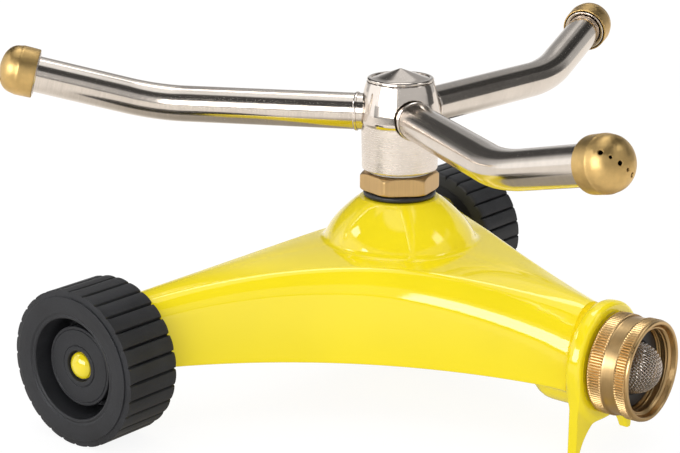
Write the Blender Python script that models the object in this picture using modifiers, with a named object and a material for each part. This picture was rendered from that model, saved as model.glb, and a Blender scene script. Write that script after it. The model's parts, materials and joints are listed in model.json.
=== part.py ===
"""Rotary sprinkler on a wheeled three-pointed base, built as separate pieces.

All sizes are in metres, +Z is up. While it is built, the rotor's axis is the Z axis, the
hose inlet points along +X and the wheels stand to the left and right along Y. At the end
one empty, which carries everything, puts the middle of the whole footprint at the origin.
"""
import math

import bmesh
import bpy
from mathutils import Matrix, Vector

MM = 0.001
GAP = 0.3 * MM                      # clearance between two pieces that fit together
CUT = 1.0 * MM                      # how far a cutter runs past the face it cuts

# Casting: three arms, joined by three concave sides that are circular arcs
ARM_ANGLES = (0.0, -118.3, 118.3)   # inlet arm, left wheel arm, right wheel arm
SIDE_ARC_RADIUS = 170.2 * MM
# For each side, from the rotor's axis to the centre of its arc
SIDE_ARC_DISTANCES = {-60.0: 210.0 * MM, 180.0: 203.7 * MM, 60.0: 210.0 * MM}
SHELL_THICKNESS = 3.0 * MM
SHELL_BOTTOM = 21.5 * MM
SHELL_LEAN = 0.018                  # the shell's heights fall by this much per metre along X
CREASE_HEIGHT = 54.0 * MM           # shoulder line where the top meets a side, at the middle
CREASE_DROP = 0.00123 / MM          # its fall grows with the square of the way along an arm
CREASE_ANGLE = 42.0                 # degrees, the side's slope where it meets the top
CREASE_FALL = 0.27                  # a wider shoulder has its crease lower, by this share
SHOULDER_DROP = 14.0 * MM           # height of the side's rounding at the middle
SHOULDER_TO_INLET = 0.055           # its growth for each millimetre along the inlet arm
SHOULDER_TO_WHEELS = -0.06          # and along a wheel arm
CROWN = 1.3 * MM                    # how far the ridge stands above the crease's own arc
WHEEL_ARM_CLEARANCE = 3.6 * MM      # between a wheel arm's end and the wheel

DOME_TOP = 70.0 * MM
DOME_TOP_RADIUS = 13.8 * MM
DOME_FOOT_RADIUS = 26.5 * MM
DOME_FOOT_DEPTH = 2.0 * MM          # how far the dome reaches down past the crease
DOME_RIDGES = (-47.0, 47.0, 180.0)
COLUMN_WALL = 4.7 * MM

INLET_HEIGHT = 28.35 * MM
WATERWAY_RADIUS = 5.5 * MM
PIPE_WALL = 4.0 * MM
NECK_RADIUS = 17.4 * MM
NECK_LENGTH = 29.4 * MM
FLANGE_RADIUS = 20.0 * MM
FLANGE_FACE = 86.4 * MM
FLANGE_THICKNESS = 5.5 * MM
FLANGE_EDGE = 2.4 * MM

LEG_THICKNESS = 3.4 * MM
LEG_INSET = 1.0 * MM                # from the flange's face back to the legs' front
LEG_HALF_WIDTH = 17.6 * MM
ARCH_RADIUS = 16.25 * MM
ARCH_HEIGHT = 10.0 * MM

# Wheels
WHEEL_RADIUS = 26.5 * MM
WHEEL_WIDTH = 22.8 * MM
WHEEL_OUTER_Y = 112.4 * MM          # outer face, from the middle plane
AXLE_X = -49.0 * MM
TREAD_BLOCKS = 28
TREAD_DEPTH = 1.1 * MM
TREAD_FADE = 5.0 * MM               # the grooves grow shallow this far from the outer face
WHEEL_SHOULDER = 1.8 * MM
WHEEL_INNER_EDGE = 1.2 * MM
AXLE_RADIUS = 3.0 * MM
AXLE_BOSS_RADIUS = 7.8 * MM
AXLE_DEPTH = 16.0 * MM              # how far the pin reaches into the casting
AXLE_WASHER = 1.2 * MM
AXLE_WASHER_RIM = 3.2 * MM
WHEEL_HUB_WALL = 4.7 * MM
WHEEL_RIM_WALL = 5.5 * MM
WHEEL_INNER_RECESS = 6.0 * MM
WHEEL_DISC_RADIUS = 13.5 * MM
WHEEL_DISC_RECESS = 4.0 * MM
WHEEL_GROOVE_WIDTH = 3.3 * MM
WHEEL_GROOVE_DEPTH = 14.0 * MM
WHEEL_CAP_RADIUS = 4.6 * MM
WHEEL_CAP_SEAT_GAP = 1.7 * MM
WHEEL_CAP_RECESS = 4.7 * MM
WHEEL_CAP_HEIGHT = 2.6 * MM

# Inlet coupling, along +X
COUPLING_RADIUS = 16.87 * MM
COUPLING_LENGTH = 15.0 * MM
COUPLING_WAIST = 0.97 * MM          # how deep the smooth band lies between the knurled ones
COUPLING_BORE = 13.5 * MM
COUPLING_MOUTH = 1.5 * MM           # how much wider the bore is at its mouth
COUPLING_WALL = 3.0 * MM            # its back wall, behind the tailpiece's flange
TAILPIECE_RADIUS = 9.2 * MM
TAILPIECE_BORE = 6.2 * MM
TAILPIECE_SHOULDER = 1.2 * MM
TAILPIECE_SHANK = 20.0 * MM
TAILPIECE_FLANGE_GAP = 1.1 * MM     # round the flange, inside the coupling
TAILPIECE_FLANGE = 2.0 * MM
SCREEN_RIM = 0.5 * MM
SCREEN_RADIUS = 8.7 * MM
SCREEN_LENGTH = 11.6 * MM
SCREEN_WALL = 0.6 * MM
HOSE_WASHER = 2.4 * MM

# Spindle, hub and cap, along Z
BOSS_WASHER = 1.9 * MM
BOSS_WASHER_RADIUS = 12.7 * MM
HEX_FLATS = 24.2 * MM
HEX_HEIGHT = 6.2 * MM
HEX_TURN = -16.0                    # degrees, how one corner stands from +X
SPINDLE_SHANK_RADIUS = 8.0 * MM
SPINDLE_SHANK = 15.0 * MM
SPINDLE_RADIUS = 6.0 * MM
SPINDLE_BORE = 3.8 * MM
LOWER_THRUST = 0.6 * MM
HUB_BOTTOM_RADIUS = 13.1 * MM
HUB_WAIST_RADIUS = 13.4 * MM
HUB_SKIRT_RADIUS = 14.2 * MM
HUB_TOP_RADIUS = 12.1 * MM
HUB_HEIGHT = 30.7 * MM
HUB_FLOOR = 6.6 * MM
HUB_CHAMBER_GAP = 3.6 * MM          # round the spindle, inside the hub
LOWER_THRUST_INSET = 2.1 * MM
HUB_SKIRT_HEIGHT = 17.4 * MM        # where the polished taper starts, above the hub's bottom
SEAL_DIAMETER = 1.8 * MM
UPPER_THRUST = 1.0 * MM
CLIP_THICKNESS = 1.0 * MM
CLIP_RIM = 2.2 * MM
UPPER_THRUST_RIM = 2.8 * MM
CLIP_GROOVE = 0.9 * MM
HUB_CAP_INSET = 0.4 * MM
HUB_CAP_RISE = 4.3 * MM
HUB_CAP_PLUG = 5.0 * MM

# Arms, measured from the rotor's axis
ARM_RISE = 19.4 * MM                # from the hub's bottom
ARM_REST_ANGLES = (207.36, 327.36, 87.36)
TUBE_RADIUS = 6.35 * MM
TUBE_WALL = 1.0 * MM
TUBE_INSET = 0.6 * MM               # from the hub's chamber to where the tube starts
ELBOW_REACH = 86.7 * MM
ELBOW_SIDEWAYS = 15.0               # degrees
ELBOW_UPWARDS = 14.4
ELBOW_RADIUS = 60.0 * MM
ELBOW_STEPS = 5
TIP_REACH = 55.9 * MM               # from the elbow to the tip of the nozzle cap
COLLAR_GAP = 0.8 * MM               # from the hub's widest edge
COLLAR_LENGTH = 2.6 * MM
COLLAR_WALL = 0.65 * MM

# Nozzle caps
NOZZLE_LENGTH = 12.8 * MM
NOZZLE_SIDE_WALL = 0.75 * MM
NOZZLE_STRAIGHT = 6.2 * MM          # from the rim to where the dome starts
NOZZLE_WALL = 1.0 * MM
NOZZLE_SOCKET = 6.6 * MM            # how far the tube reaches in
NOZZLE_LIMIT = 90.0
FERRULE_WALL = 1.05 * MM
FERRULE_LENGTH = 3.0 * MM
FERRULE_PROUD = 0.4 * MM
NOZZLE_SEAL_DIAMETER = 1.0 * MM
JET_ROW_OFFSET = 1.23 * MM          # the middle jet's distance from the cap's axis, sideways
JET_ROW_LEAN = 39.0                 # degrees
JET_PLACES = (6.15, 3.43, 0.0, -3.55, -6.65)
JET_RADII = (0.75, 0.5, 0.75, 0.5, 0.75)

# Sizes that follow from those above
SOCKET_ALLOWANCE = 2.0 * GAP        # a loose ring between two pieces has a gap on each side
WHEEL_INNER_Y = WHEEL_OUTER_Y - WHEEL_WIDTH
WHEEL_ARM_FACE = WHEEL_INNER_Y - WHEEL_ARM_CLEARANCE
WHEEL_ARM_END = WHEEL_ARM_FACE / math.sin(math.radians(ARM_ANGLES[2])) + 6.3 * MM
AXLE_BOSS_END = WHEEL_INNER_Y - AXLE_WASHER - SOCKET_ALLOWANCE
WHEEL_GROOVE_RADIUS = WHEEL_DISC_RADIUS + WHEEL_GROOVE_WIDTH
WHEEL_CAP_SEAT_RADIUS = WHEEL_CAP_RADIUS + WHEEL_CAP_SEAT_GAP
FLANGE_BACK = FLANGE_FACE - FLANGE_THICKNESS
LEG_FRONT = FLANGE_FACE - LEG_INSET
NECK_START = FLANGE_FACE - NECK_LENGTH
PIPE_RADIUS = WATERWAY_RADIUS + PIPE_WALL
COLUMN_RADIUS = SPINDLE_SHANK_RADIUS + GAP + COLUMN_WALL
COLUMN_BOTTOM = INLET_HEIGHT - PIPE_RADIUS - 1.85 * MM
DOME_FOOT = CREASE_HEIGHT - DOME_FOOT_DEPTH
TAILPIECE_SHANK_RADIUS = TAILPIECE_RADIUS - TAILPIECE_SHOULDER
TAILPIECE_FLANGE_RADIUS = COUPLING_BORE - TAILPIECE_FLANGE_GAP
HEX_BOTTOM = DOME_TOP + GAP + BOSS_WASHER + GAP
HEX_TOP = HEX_BOTTOM + HEX_HEIGHT
HUB_BOTTOM = HEX_TOP + GAP + LOWER_THRUST + GAP
ARM_HEIGHT = HUB_BOTTOM + ARM_RISE
HUB_CHAMBER_RADIUS = SPINDLE_RADIUS + HUB_CHAMBER_GAP
HUB_CAP_RADIUS = HUB_TOP_RADIUS - HUB_CAP_INSET
TUBE_BORE = TUBE_RADIUS - TUBE_WALL
TUBE_START = HUB_CHAMBER_RADIUS + TUBE_INSET
TUBE_SOCKET = TUBE_RADIUS + GAP
COLLAR_START = HUB_SKIRT_RADIUS + COLLAR_GAP
COLLAR_RADIUS = TUBE_SOCKET + COLLAR_WALL
NOZZLE_BORE = TUBE_RADIUS + FERRULE_WALL + SOCKET_ALLOWANCE
NOZZLE_RADIUS = NOZZLE_BORE + NOZZLE_SIDE_WALL

FINE = 28
MEDIUM = 22
SMALL = 16

YELLOW = ("painted_yellow", (0.93, 0.76, 0.06, 1.0), 0.15, 0.0)
BRASS = ("brass", (0.66, 0.43, 0.17, 1.0), 0.28, 1.0)
NICKEL = ("nickel_plate", (0.66, 0.62, 0.58, 1.0), 0.22, 1.0)
STAINLESS = ("stainless_steel", (0.62, 0.60, 0.57, 1.0), 0.25, 1.0)
BLACK_PLASTIC = ("black_plastic", (0.035, 0.036, 0.040, 1.0), 0.55, 0.0)
RUBBER = ("black_rubber", (0.015, 0.015, 0.017, 1.0), 0.6, 0.0)
STEEL_MESH = ("steel_mesh", (0.55, 0.55, 0.55, 1.0), 0.4, 1.0)
ACETAL = ("white_acetal", (0.85, 0.84, 0.80, 1.0), 0.45, 0.0)

for old in list(bpy.data.objects):
    bpy.data.objects.remove(old, do_unlink=True)

PARTS = bpy.data.collections.new("rotary_sprinkler")
CUTTERS = bpy.data.collections.new("cutters")
bpy.context.scene.collection.children.link(PARTS)
bpy.context.scene.collection.children.link(CUTTERS)

ROOT = bpy.data.objects.new("sprinkler_root", None)
PARTS.objects.link(ROOT)


def material(kind):
    name, colour, roughness, metallic = kind
    made = bpy.data.materials.get(name)
    if made is None:
        made = bpy.data.materials.new(name)
        made.use_nodes = True
        shader = made.node_tree.nodes["Principled BSDF"]
        shader.inputs["Base Color"].default_value = colour
        shader.inputs["Roughness"].default_value = roughness
        shader.inputs["Metallic"].default_value = metallic
        made.diffuse_color = colour
    return made


def add_object(name, mesh, kind, parent, matrix=None, cutter=False):
    """Put a mesh in the scene as a part, or as a cutter that shapes other parts."""
    made = bpy.data.objects.new(name, mesh)
    (CUTTERS if cutter else PARTS).objects.link(made)
    made.parent = parent
    if matrix is not None:
        made.matrix_local = matrix
    if cutter:
        made.hide_render = True
        made.display_type = "WIRE"
    else:
        mesh.materials.append(material(kind))
    return made


def turned(name, profile, kind, parent, matrix=None, steps=MEDIUM, ring=True, cutter=False):
    """Turn a profile of (radius, height) points about the local Z axis.

    The points run down the outer side. A ring's profile is closed, a solid's starts and
    ends on the axis.
    """
    mesh = bpy.data.meshes.new(name)
    points = [(radius, 0.0, height) for radius, height in profile]
    edges = [(i, i + 1) for i in range(len(points) - 1)]
    if ring:
        edges.append((len(points) - 1, 0))
    mesh.from_pydata(points, edges, [])
    made = add_object(name, mesh, kind, parent, matrix, cutter)
    screw = made.modifiers.new("turn", "SCREW")
    screw.steps = screw.render_steps = steps
    screw.use_merge_vertices = True
    screw.merge_threshold = 0.00001
    screw.use_smooth_shade = not cutter
    return made


def boolean(target, operand, operation):
    cut = target.modifiers.new(operation.lower(), "BOOLEAN")
    cut.object = operand
    cut.operation = operation
    cut.solver = "EXACT"
    weld = target.modifiers.new("weld", "WELD")
    weld.merge_threshold = 0.00001


def evaluated(made, name):
    """The object as its modifiers leave it, as a plain mesh in its own space."""
    bpy.context.view_layer.update()
    depsgraph = bpy.context.evaluated_depsgraph_get()
    return bpy.data.meshes.new_from_object(made.evaluated_get(depsgraph), depsgraph=depsgraph)


def empty(name, parent, matrix):
    made = bpy.data.objects.new(name, None)
    made.empty_display_size = 0.01
    PARTS.objects.link(made)
    made.parent = parent
    made.matrix_local = matrix
    return made


def along(direction, place):
    """A frame at a place whose Z axis points in a direction."""
    turn = Vector(direction).to_track_quat("Z", "Y").to_matrix().to_4x4()
    return Matrix.Translation(Vector(place)) @ turn


def arc_points(centre, radius, start, end, count):
    """Points of an arc of (radius, height) profile, angles in degrees."""
    points = []
    for i in range(count + 1):
        angle = math.radians(start + (end - start) * i / count)
        points.append((centre[0] + radius * math.cos(angle), centre[1] + radius * math.sin(angle)))
    return points


def flat_direction(degrees):
    angle = math.radians(degrees)
    return Vector((math.cos(angle), math.sin(angle), 0.0))


# The casting

def shell_section(along_arm, arm, side, inset):
    """One upright section of the shell, from the bottom of a side up to an arm's ridge.

    It lies in the plane that holds the centre of the side's arc, so neighbouring sections
    meet on the ridge.
    """
    centre = flat_direction(side) * SIDE_ARC_DISTANCES[side]
    ridge_point = flat_direction(arm) * along_arm
    outwards = ridge_point - centre
    span = outwards.length - SIDE_ARC_RADIUS - inset
    outwards.normalize()
    growth = SHOULDER_TO_INLET if arm == 0.0 else SHOULDER_TO_WHEELS
    drop = SHOULDER_DROP + growth * along_arm
    crease_inset = min(drop * math.tan(math.radians(CREASE_ANGLE / 2.0)), 0.6 * span)
    ridge = CREASE_HEIGHT + CROWN - CREASE_DROP * along_arm ** 2 - inset
    crease = ridge - CROWN - CREASE_FALL * (crease_inset - 3.7 * MM)
    bend = crease_inset / (1.0 - math.cos(math.radians(CREASE_ANGLE)))
    upright = crease - bend * math.sin(math.radians(CREASE_ANGLE))
    bottom = SHELL_BOTTOM if inset == 0.0 else COLUMN_BOTTOM
    profile = [(0.0, bottom), (0.0, upright)]
    for part in (1, 2, 3):
        turn = math.radians(CREASE_ANGLE * part / 3)
        profile.append((bend * (1.0 - math.cos(turn)), upright + bend * math.sin(turn)))
    for part in (0.35, 0.7, 1.0):
        rise = (ridge - crease) * math.sin(part * math.pi / 2.0)
        profile.append((crease_inset + (span - crease_inset) * part, crease + rise))
    points = []
    for inwards, height in profile:
        place = centre + outwards * (SIDE_ARC_RADIUS + inset + inwards)
        lean = 0.0 if inset and height == bottom else SHELL_LEAN * place.x
        points.append(place + Vector((0.0, 0.0, height - lean)))
    return points


def shell_stations(arm, inset):
    end = (FLANGE_BACK if arm == 0.0 else WHEEL_ARM_END) - inset
    steps = 8
    return [end * i / steps for i in range(steps + 1)]


def shell_body(name, inset, cutter):
    """The closed three-pointed body. The inner one, cut from the outer, leaves the shell."""
    bm = bmesh.new()
    for side in SIDE_ARC_DISTANCES:
        near, far = sorted(ARM_ANGLES, key=lambda arm: abs((arm - side + 180.0) % 360.0 - 180.0))[:2]
        if (near - side + 360.0) % 360.0 > 180.0:
            near, far = far, near
        stations = [(s, near) for s in reversed(shell_stations(near, inset))]
        stations += [(s, far) for s in shell_stations(far, inset)[1:]]
        rows = []
        for s, arm in stations:
            rows.append([bm.verts.new(p) for p in shell_section(s, arm, side, inset)])
        for a, b in zip(rows, rows[1:]):
            for i in range(len(a) - 1):
                bm.faces.new((a[i], a[i + 1], b[i + 1], b[i]))
    bmesh.ops.remove_doubles(bm, verts=bm.verts, dist=0.00002)
    bmesh.ops.dissolve_degenerate(bm, dist=0.00001, edges=bm.edges)
    for arm in ARM_ANGLES:
        end = shell_stations(arm, inset)[-1]
        away = flat_direction(arm)
        rim = [e for e in bm.edges if e.is_boundary and all(
            v.co.dot(away) > end - 8.0 * MM for v in e.verts) and any(
            v.co.z > SHELL_BOTTOM + 3.0 * MM for v in e.verts)]
        bmesh.ops.contextual_create(bm, geom=rim)
    bmesh.ops.holes_fill(bm, edges=[e for e in bm.edges if e.is_boundary], sides=0)
    bmesh.ops.triangulate(bm, faces=bm.faces)
    bmesh.ops.recalc_face_normals(bm, faces=bm.faces)
    mesh = bpy.data.meshes.new(name)
    bm.to_mesh(mesh)
    bm.free()
    return add_object(name, mesh, YELLOW, ROOT, cutter=cutter)


def dome_body(name, inset, cutter):
    """The raised boss: a round top that grows into a softly three-sided foot."""
    bm = bmesh.new()
    rings = []
    levels = 6
    for level in range(levels + 1):
        part = level / levels
        height = DOME_TOP - inset - (DOME_TOP - DOME_FOOT) * part
        swell = math.sin(part * math.pi / 2.0) ** 0.9
        radius = DOME_TOP_RADIUS + (DOME_FOOT_RADIUS - DOME_TOP_RADIUS) * swell - inset
        ring = []
        for i in range(FINE):
            angle = 360.0 * i / FINE
            lobe = max(math.cos(math.radians(min(abs((angle - r + 180.0) % 360.0 - 180.0), 40.0) * 2.25))
                       for r in DOME_RIDGES)
            flat = 1.0 + 0.035 * part * lobe
            ring.append(bm.verts.new(flat_direction(angle) * radius * flat + Vector((0, 0, height))))
        rings.append(ring)
    for upper, lower in zip(rings, rings[1:]):
        for i in range(FINE):
            j = (i + 1) % FINE
            bm.faces.new((upper[i], lower[i], lower[j], upper[j]))
    bm.faces.new(rings[0])
    bm.faces.new(list(reversed(rings[-1])))
    bmesh.ops.triangulate(bm, faces=bm.faces)
    bmesh.ops.recalc_face_normals(bm, faces=bm.faces)
    mesh = bpy.data.meshes.new(name)
    bm.to_mesh(mesh)
    bm.free()
    return add_object(name, mesh, YELLOW, ROOT, cutter=cutter)


def slab_between_wheels(half_width):
    """A block that keeps only what stands between two planes that face the wheels."""
    bm = bmesh.new()
    bmesh.ops.create_cube(bm, size=1.0)
    mesh = bpy.data.meshes.new("wheel_arm_faces")
    bm.to_mesh(mesh)
    bm.free()
    size = Matrix.Diagonal((4.0 * WHEEL_ARM_END, 2.0 * half_width, 4.0 * WHEEL_ARM_END, 1.0))
    return add_object("wheel_arm_faces", mesh, None, ROOT, size, cutter=True)


def leg_plate():
    """Front legs: a plate between the flange and the ground, before the arch is cut."""
    outline = [
        (-LEG_HALF_WIDTH, INLET_HEIGHT), (-LEG_HALF_WIDTH, 1.0 * MM),
        (-LEG_HALF_WIDTH + 0.7 * MM, 0.0), (LEG_HALF_WIDTH - 0.7 * MM, 0.0),
        (LEG_HALF_WIDTH, 1.0 * MM), (LEG_HALF_WIDTH, INLET_HEIGHT),
    ]
    curve = bpy.data.curves.new("leg_plate", "CURVE")
    curve.dimensions = "2D"
    curve.fill_mode = "BOTH"
    curve.extrude = LEG_THICKNESS / 2.0
    spline = curve.splines.new("POLY")
    spline.points.add(len(outline) - 1)
    for point, (across, up) in zip(spline.points, outline):
        point.co = (across, up, 0.0, 1.0)
    spline.use_cyclic_u = True
    flat = bpy.data.objects.new("leg_plate_outline", curve)
    CUTTERS.objects.link(flat)
    mesh = evaluated(flat, "leg_plate")
    bm = bmesh.new()
    bm.from_mesh(mesh)
    bmesh.ops.remove_doubles(bm, verts=bm.verts, dist=0.00001)
    bmesh.ops.recalc_face_normals(bm, faces=bm.faces)
    bm.to_mesh(mesh)
    bm.free()
    bpy.data.objects.remove(flat, do_unlink=True)
    # The outline's X runs along world Y and its Y along world Z
    turn = Matrix(((0, 0, 1, 0), (1, 0, 0, 0), (0, 1, 0, 0), (0, 0, 0, 1)))
    place = Matrix.Translation((LEG_FRONT - LEG_THICKNESS / 2.0, 0.0, 0.0)) @ turn
    return add_object("leg_plate", mesh, YELLOW, ROOT, place, cutter=True)


def neck_profile():
    """Neck and flange along the inlet's axis, heights measured along +X."""
    edge = FLANGE_EDGE
    front = arc_points((FLANGE_RADIUS - edge, FLANGE_FACE - edge), edge, 90.0, 0.0, 4)
    back = arc_points((FLANGE_RADIUS - edge, FLANGE_BACK + edge), edge, 0.0, -60.0, 3)
    shoulder = arc_points((NECK_RADIUS - 7.0 * MM, NECK_START + 7.0 * MM), 7.0 * MM, 0.0, -80.0, 4)
    return [(0.0, FLANGE_FACE)] + front + back + shoulder + [(0.0, NECK_START)]


def cylinder_cutter(name, radius, start, end, direction, place, steps=SMALL):
    profile = [(0.0, end), (radius, end), (radius, start), (0.0, start)]
    return turned(name, profile, None, ROOT, along(direction, place), steps, ring=False, cutter=True)


def build_casting():
    casting = shell_body("base_casting", 0.0, False)
    inlet_frame = along((1, 0, 0), (0, 0, INLET_HEIGHT))
    boolean(casting, slab_between_wheels(WHEEL_ARM_FACE), "INTERSECT")
    boolean(casting, dome_body("dome_outside", 0.0, True), "UNION")
    inside = shell_body("shell_inside", SHELL_THICKNESS, True)
    boolean(inside, slab_between_wheels(WHEEL_ARM_FACE - SHELL_THICKNESS), "INTERSECT")
    boolean(casting, inside, "DIFFERENCE")
    boolean(casting, dome_body("dome_inside", SHELL_THICKNESS, True), "DIFFERENCE")
    column = cylinder_cutter("column", COLUMN_RADIUS, COLUMN_BOTTOM, DOME_TOP - CUT, (0, 0, 1), (0, 0, 0))
    boolean(casting, column, "UNION")
    pipe = cylinder_cutter("pipe", PIPE_RADIUS, 2.0 * MM, NECK_START + 4.0 * MM, (1, 0, 0),
                           (0, 0, INLET_HEIGHT))
    boolean(casting, pipe, "UNION")
    neck = turned("neck", neck_profile(), None, ROOT, inlet_frame, FINE, ring=False, cutter=True)
    boolean(casting, neck, "UNION")
    boolean(casting, leg_plate(), "UNION")
    for sign in (-1.0, 1.0):
        axle = (AXLE_X, 0, WHEEL_RADIUS)
        end = AXLE_BOSS_END
        boss_start = end - AXLE_DEPTH - 4.0 * MM
        boss = cylinder_cutter("axle_boss", AXLE_BOSS_RADIUS, boss_start, end, (0, sign, 0), axle)
        boolean(casting, boss, "UNION")
        hole_start = end - AXLE_DEPTH - GAP
        hole = cylinder_cutter("axle_hole", AXLE_RADIUS + GAP, hole_start, end + CUT, (0, sign, 0), axle)
        boolean(casting, hole, "DIFFERENCE")
    arch = cylinder_cutter("arch", ARCH_RADIUS, FLANGE_BACK - 6.0 * MM, FLANGE_FACE + CUT, (1, 0, 0),
                           (0, 0, ARCH_HEIGHT - ARCH_RADIUS), FINE)
    boolean(casting, arch, "DIFFERENCE")
    shank_hole = SPINDLE_SHANK + GAP - BOSS_WASHER
    riser = [
        (0.0, DOME_TOP + CUT), (SPINDLE_SHANK_RADIUS + GAP, DOME_TOP + CUT),
        (SPINDLE_SHANK_RADIUS + GAP, DOME_TOP - shank_hole), (WATERWAY_RADIUS, DOME_TOP - shank_hole),
        (WATERWAY_RADIUS, INLET_HEIGHT), (0.0, INLET_HEIGHT - WATERWAY_RADIUS / 2.0),
    ]
    boolean(casting, turned("riser_bore", riser, None, ROOT, None, MEDIUM, False, True), "DIFFERENCE")
    socket = FLANGE_FACE - TAILPIECE_SHANK - GAP
    inlet = [
        (0.0, FLANGE_FACE + CUT), (TAILPIECE_SHANK_RADIUS + GAP, FLANGE_FACE + CUT),
        (TAILPIECE_SHANK_RADIUS + GAP, socket), (WATERWAY_RADIUS, socket), (WATERWAY_RADIUS, 0.3 * MM),
        (0.0, 0.3 * MM),
    ]
    bore = turned("inlet_bore", inlet, None, ROOT, inlet_frame, MEDIUM, False, True)
    boolean(casting, bore, "DIFFERENCE")
    return casting


# Wheels

def wheel_profile():
    """The wheel's ring from its inner to its outer face, heights measured outwards."""
    outer = WHEEL_WIDTH
    edge = WHEEL_INNER_EDGE
    disc = outer - WHEEL_DISC_RECESS
    sleeve = AXLE_RADIUS + GAP
    hub = sleeve + WHEEL_HUB_WALL
    rim = WHEEL_RADIUS - WHEEL_RIM_WALL
    depth = WHEEL_INNER_RECESS
    seat = outer - WHEEL_CAP_RECESS - 0.9 * MM
    return [
        (sleeve, seat), (WHEEL_CAP_SEAT_RADIUS, seat), (WHEEL_CAP_SEAT_RADIUS, disc),
        (WHEEL_DISC_RADIUS, disc), (WHEEL_DISC_RADIUS, outer - WHEEL_GROOVE_DEPTH),
        (WHEEL_GROOVE_RADIUS, outer - WHEEL_GROOVE_DEPTH), (WHEEL_GROOVE_RADIUS + 0.4 * MM, outer),
    ] + arc_points((WHEEL_RADIUS - WHEEL_SHOULDER, outer - WHEEL_SHOULDER), WHEEL_SHOULDER, 90.0, 0.0, 2) + [
        (WHEEL_RADIUS, outer - TREAD_FADE), (WHEEL_RADIUS, edge), (WHEEL_RADIUS - edge, 0.0),
        (rim, 0.0), (rim, depth), (hub, depth), (hub, 0.0), (sleeve, 0.0),
    ]


def build_wheel(side, sign):
    frame = along((0, sign, 0), (AXLE_X, sign * WHEEL_INNER_Y, WHEEL_RADIUS))
    blank = turned("wheel_blank", wheel_profile(), BLACK_PLASTIC, None, None, TREAD_BLOCKS * 2)
    mesh = evaluated(blank, "wheel_" + side)
    bpy.data.objects.remove(blank, do_unlink=True)
    pitch = 2.0 * math.pi / TREAD_BLOCKS
    down = frame.to_3x3().inverted() @ Vector((0, 0, -1))
    lowest = math.atan2(down.y, down.x)
    turned_back = Matrix.Rotation(lowest, 4, "Z")
    for vertex in mesh.vertices:
        radius = math.hypot(vertex.co.x, vertex.co.y)
        if radius < WHEEL_RADIUS - WHEEL_SHOULDER - 0.1 * MM:
            vertex.co = turned_back @ vertex.co
            continue
        turn = math.atan2(vertex.co.y, vertex.co.x)
        drawn = TREAD_DEPTH if round(turn / (pitch / 2.0)) % 2 else 0.0
        if vertex.co.z > WHEEL_WIDTH - TREAD_FADE + 0.1 * MM:
            drawn *= 0.3
        angle = turn + lowest
        vertex.co.x = (radius - drawn) * math.cos(angle)
        vertex.co.y = (radius - drawn) * math.sin(angle)
    mesh.set_sharp_from_angle(angle=math.radians(35.0))
    wheel_axis = empty("wheel_axis_" + side, ROOT, frame)
    mesh.name = "wheel_" + side
    add_object("wheel_" + side, mesh, BLACK_PLASTIC, wheel_axis)

    pin_end = WHEEL_WIDTH - WHEEL_CAP_RECESS + 0.2 * MM
    pin_start = -(GAP + AXLE_WASHER + GAP + AXLE_DEPTH)
    chamfer = 0.5 * MM
    pin = [
        (0.0, pin_end), (AXLE_RADIUS - chamfer, pin_end), (AXLE_RADIUS, pin_end - chamfer),
        (AXLE_RADIUS, pin_start + chamfer), (AXLE_RADIUS - chamfer, pin_start), (0.0, pin_start),
    ]
    turned("axle_pin_" + side, pin, STAINLESS, ROOT, frame, SMALL, ring=False)
    sleeve = AXLE_RADIUS + GAP
    rim = sleeve + AXLE_WASHER_RIM
    washer = [
        (sleeve, -GAP), (rim, -GAP), (rim, -GAP - AXLE_WASHER), (sleeve, -GAP - AXLE_WASHER),
    ]
    turned("axle_washer_" + side, washer, STAINLESS, ROOT, frame, SMALL)
    seat = WHEEL_WIDTH - WHEEL_CAP_RECESS - 0.9 * MM + GAP
    crown = seat + WHEEL_CAP_HEIGHT
    cap = [
        (0.0, crown), (0.45 * WHEEL_CAP_RADIUS, crown - 0.2 * MM), (0.8 * WHEEL_CAP_RADIUS, crown - 0.8 * MM),
        (WHEEL_CAP_RADIUS, crown - 1.4 * MM), (WHEEL_CAP_RADIUS, seat), (sleeve, seat),
        (sleeve, pin_end + GAP), (0.0, pin_end + GAP),
    ]
    turned("wheel_cap_" + side, cap, YELLOW, ROOT, frame, SMALL, ring=False)


# Inlet coupling

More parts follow.
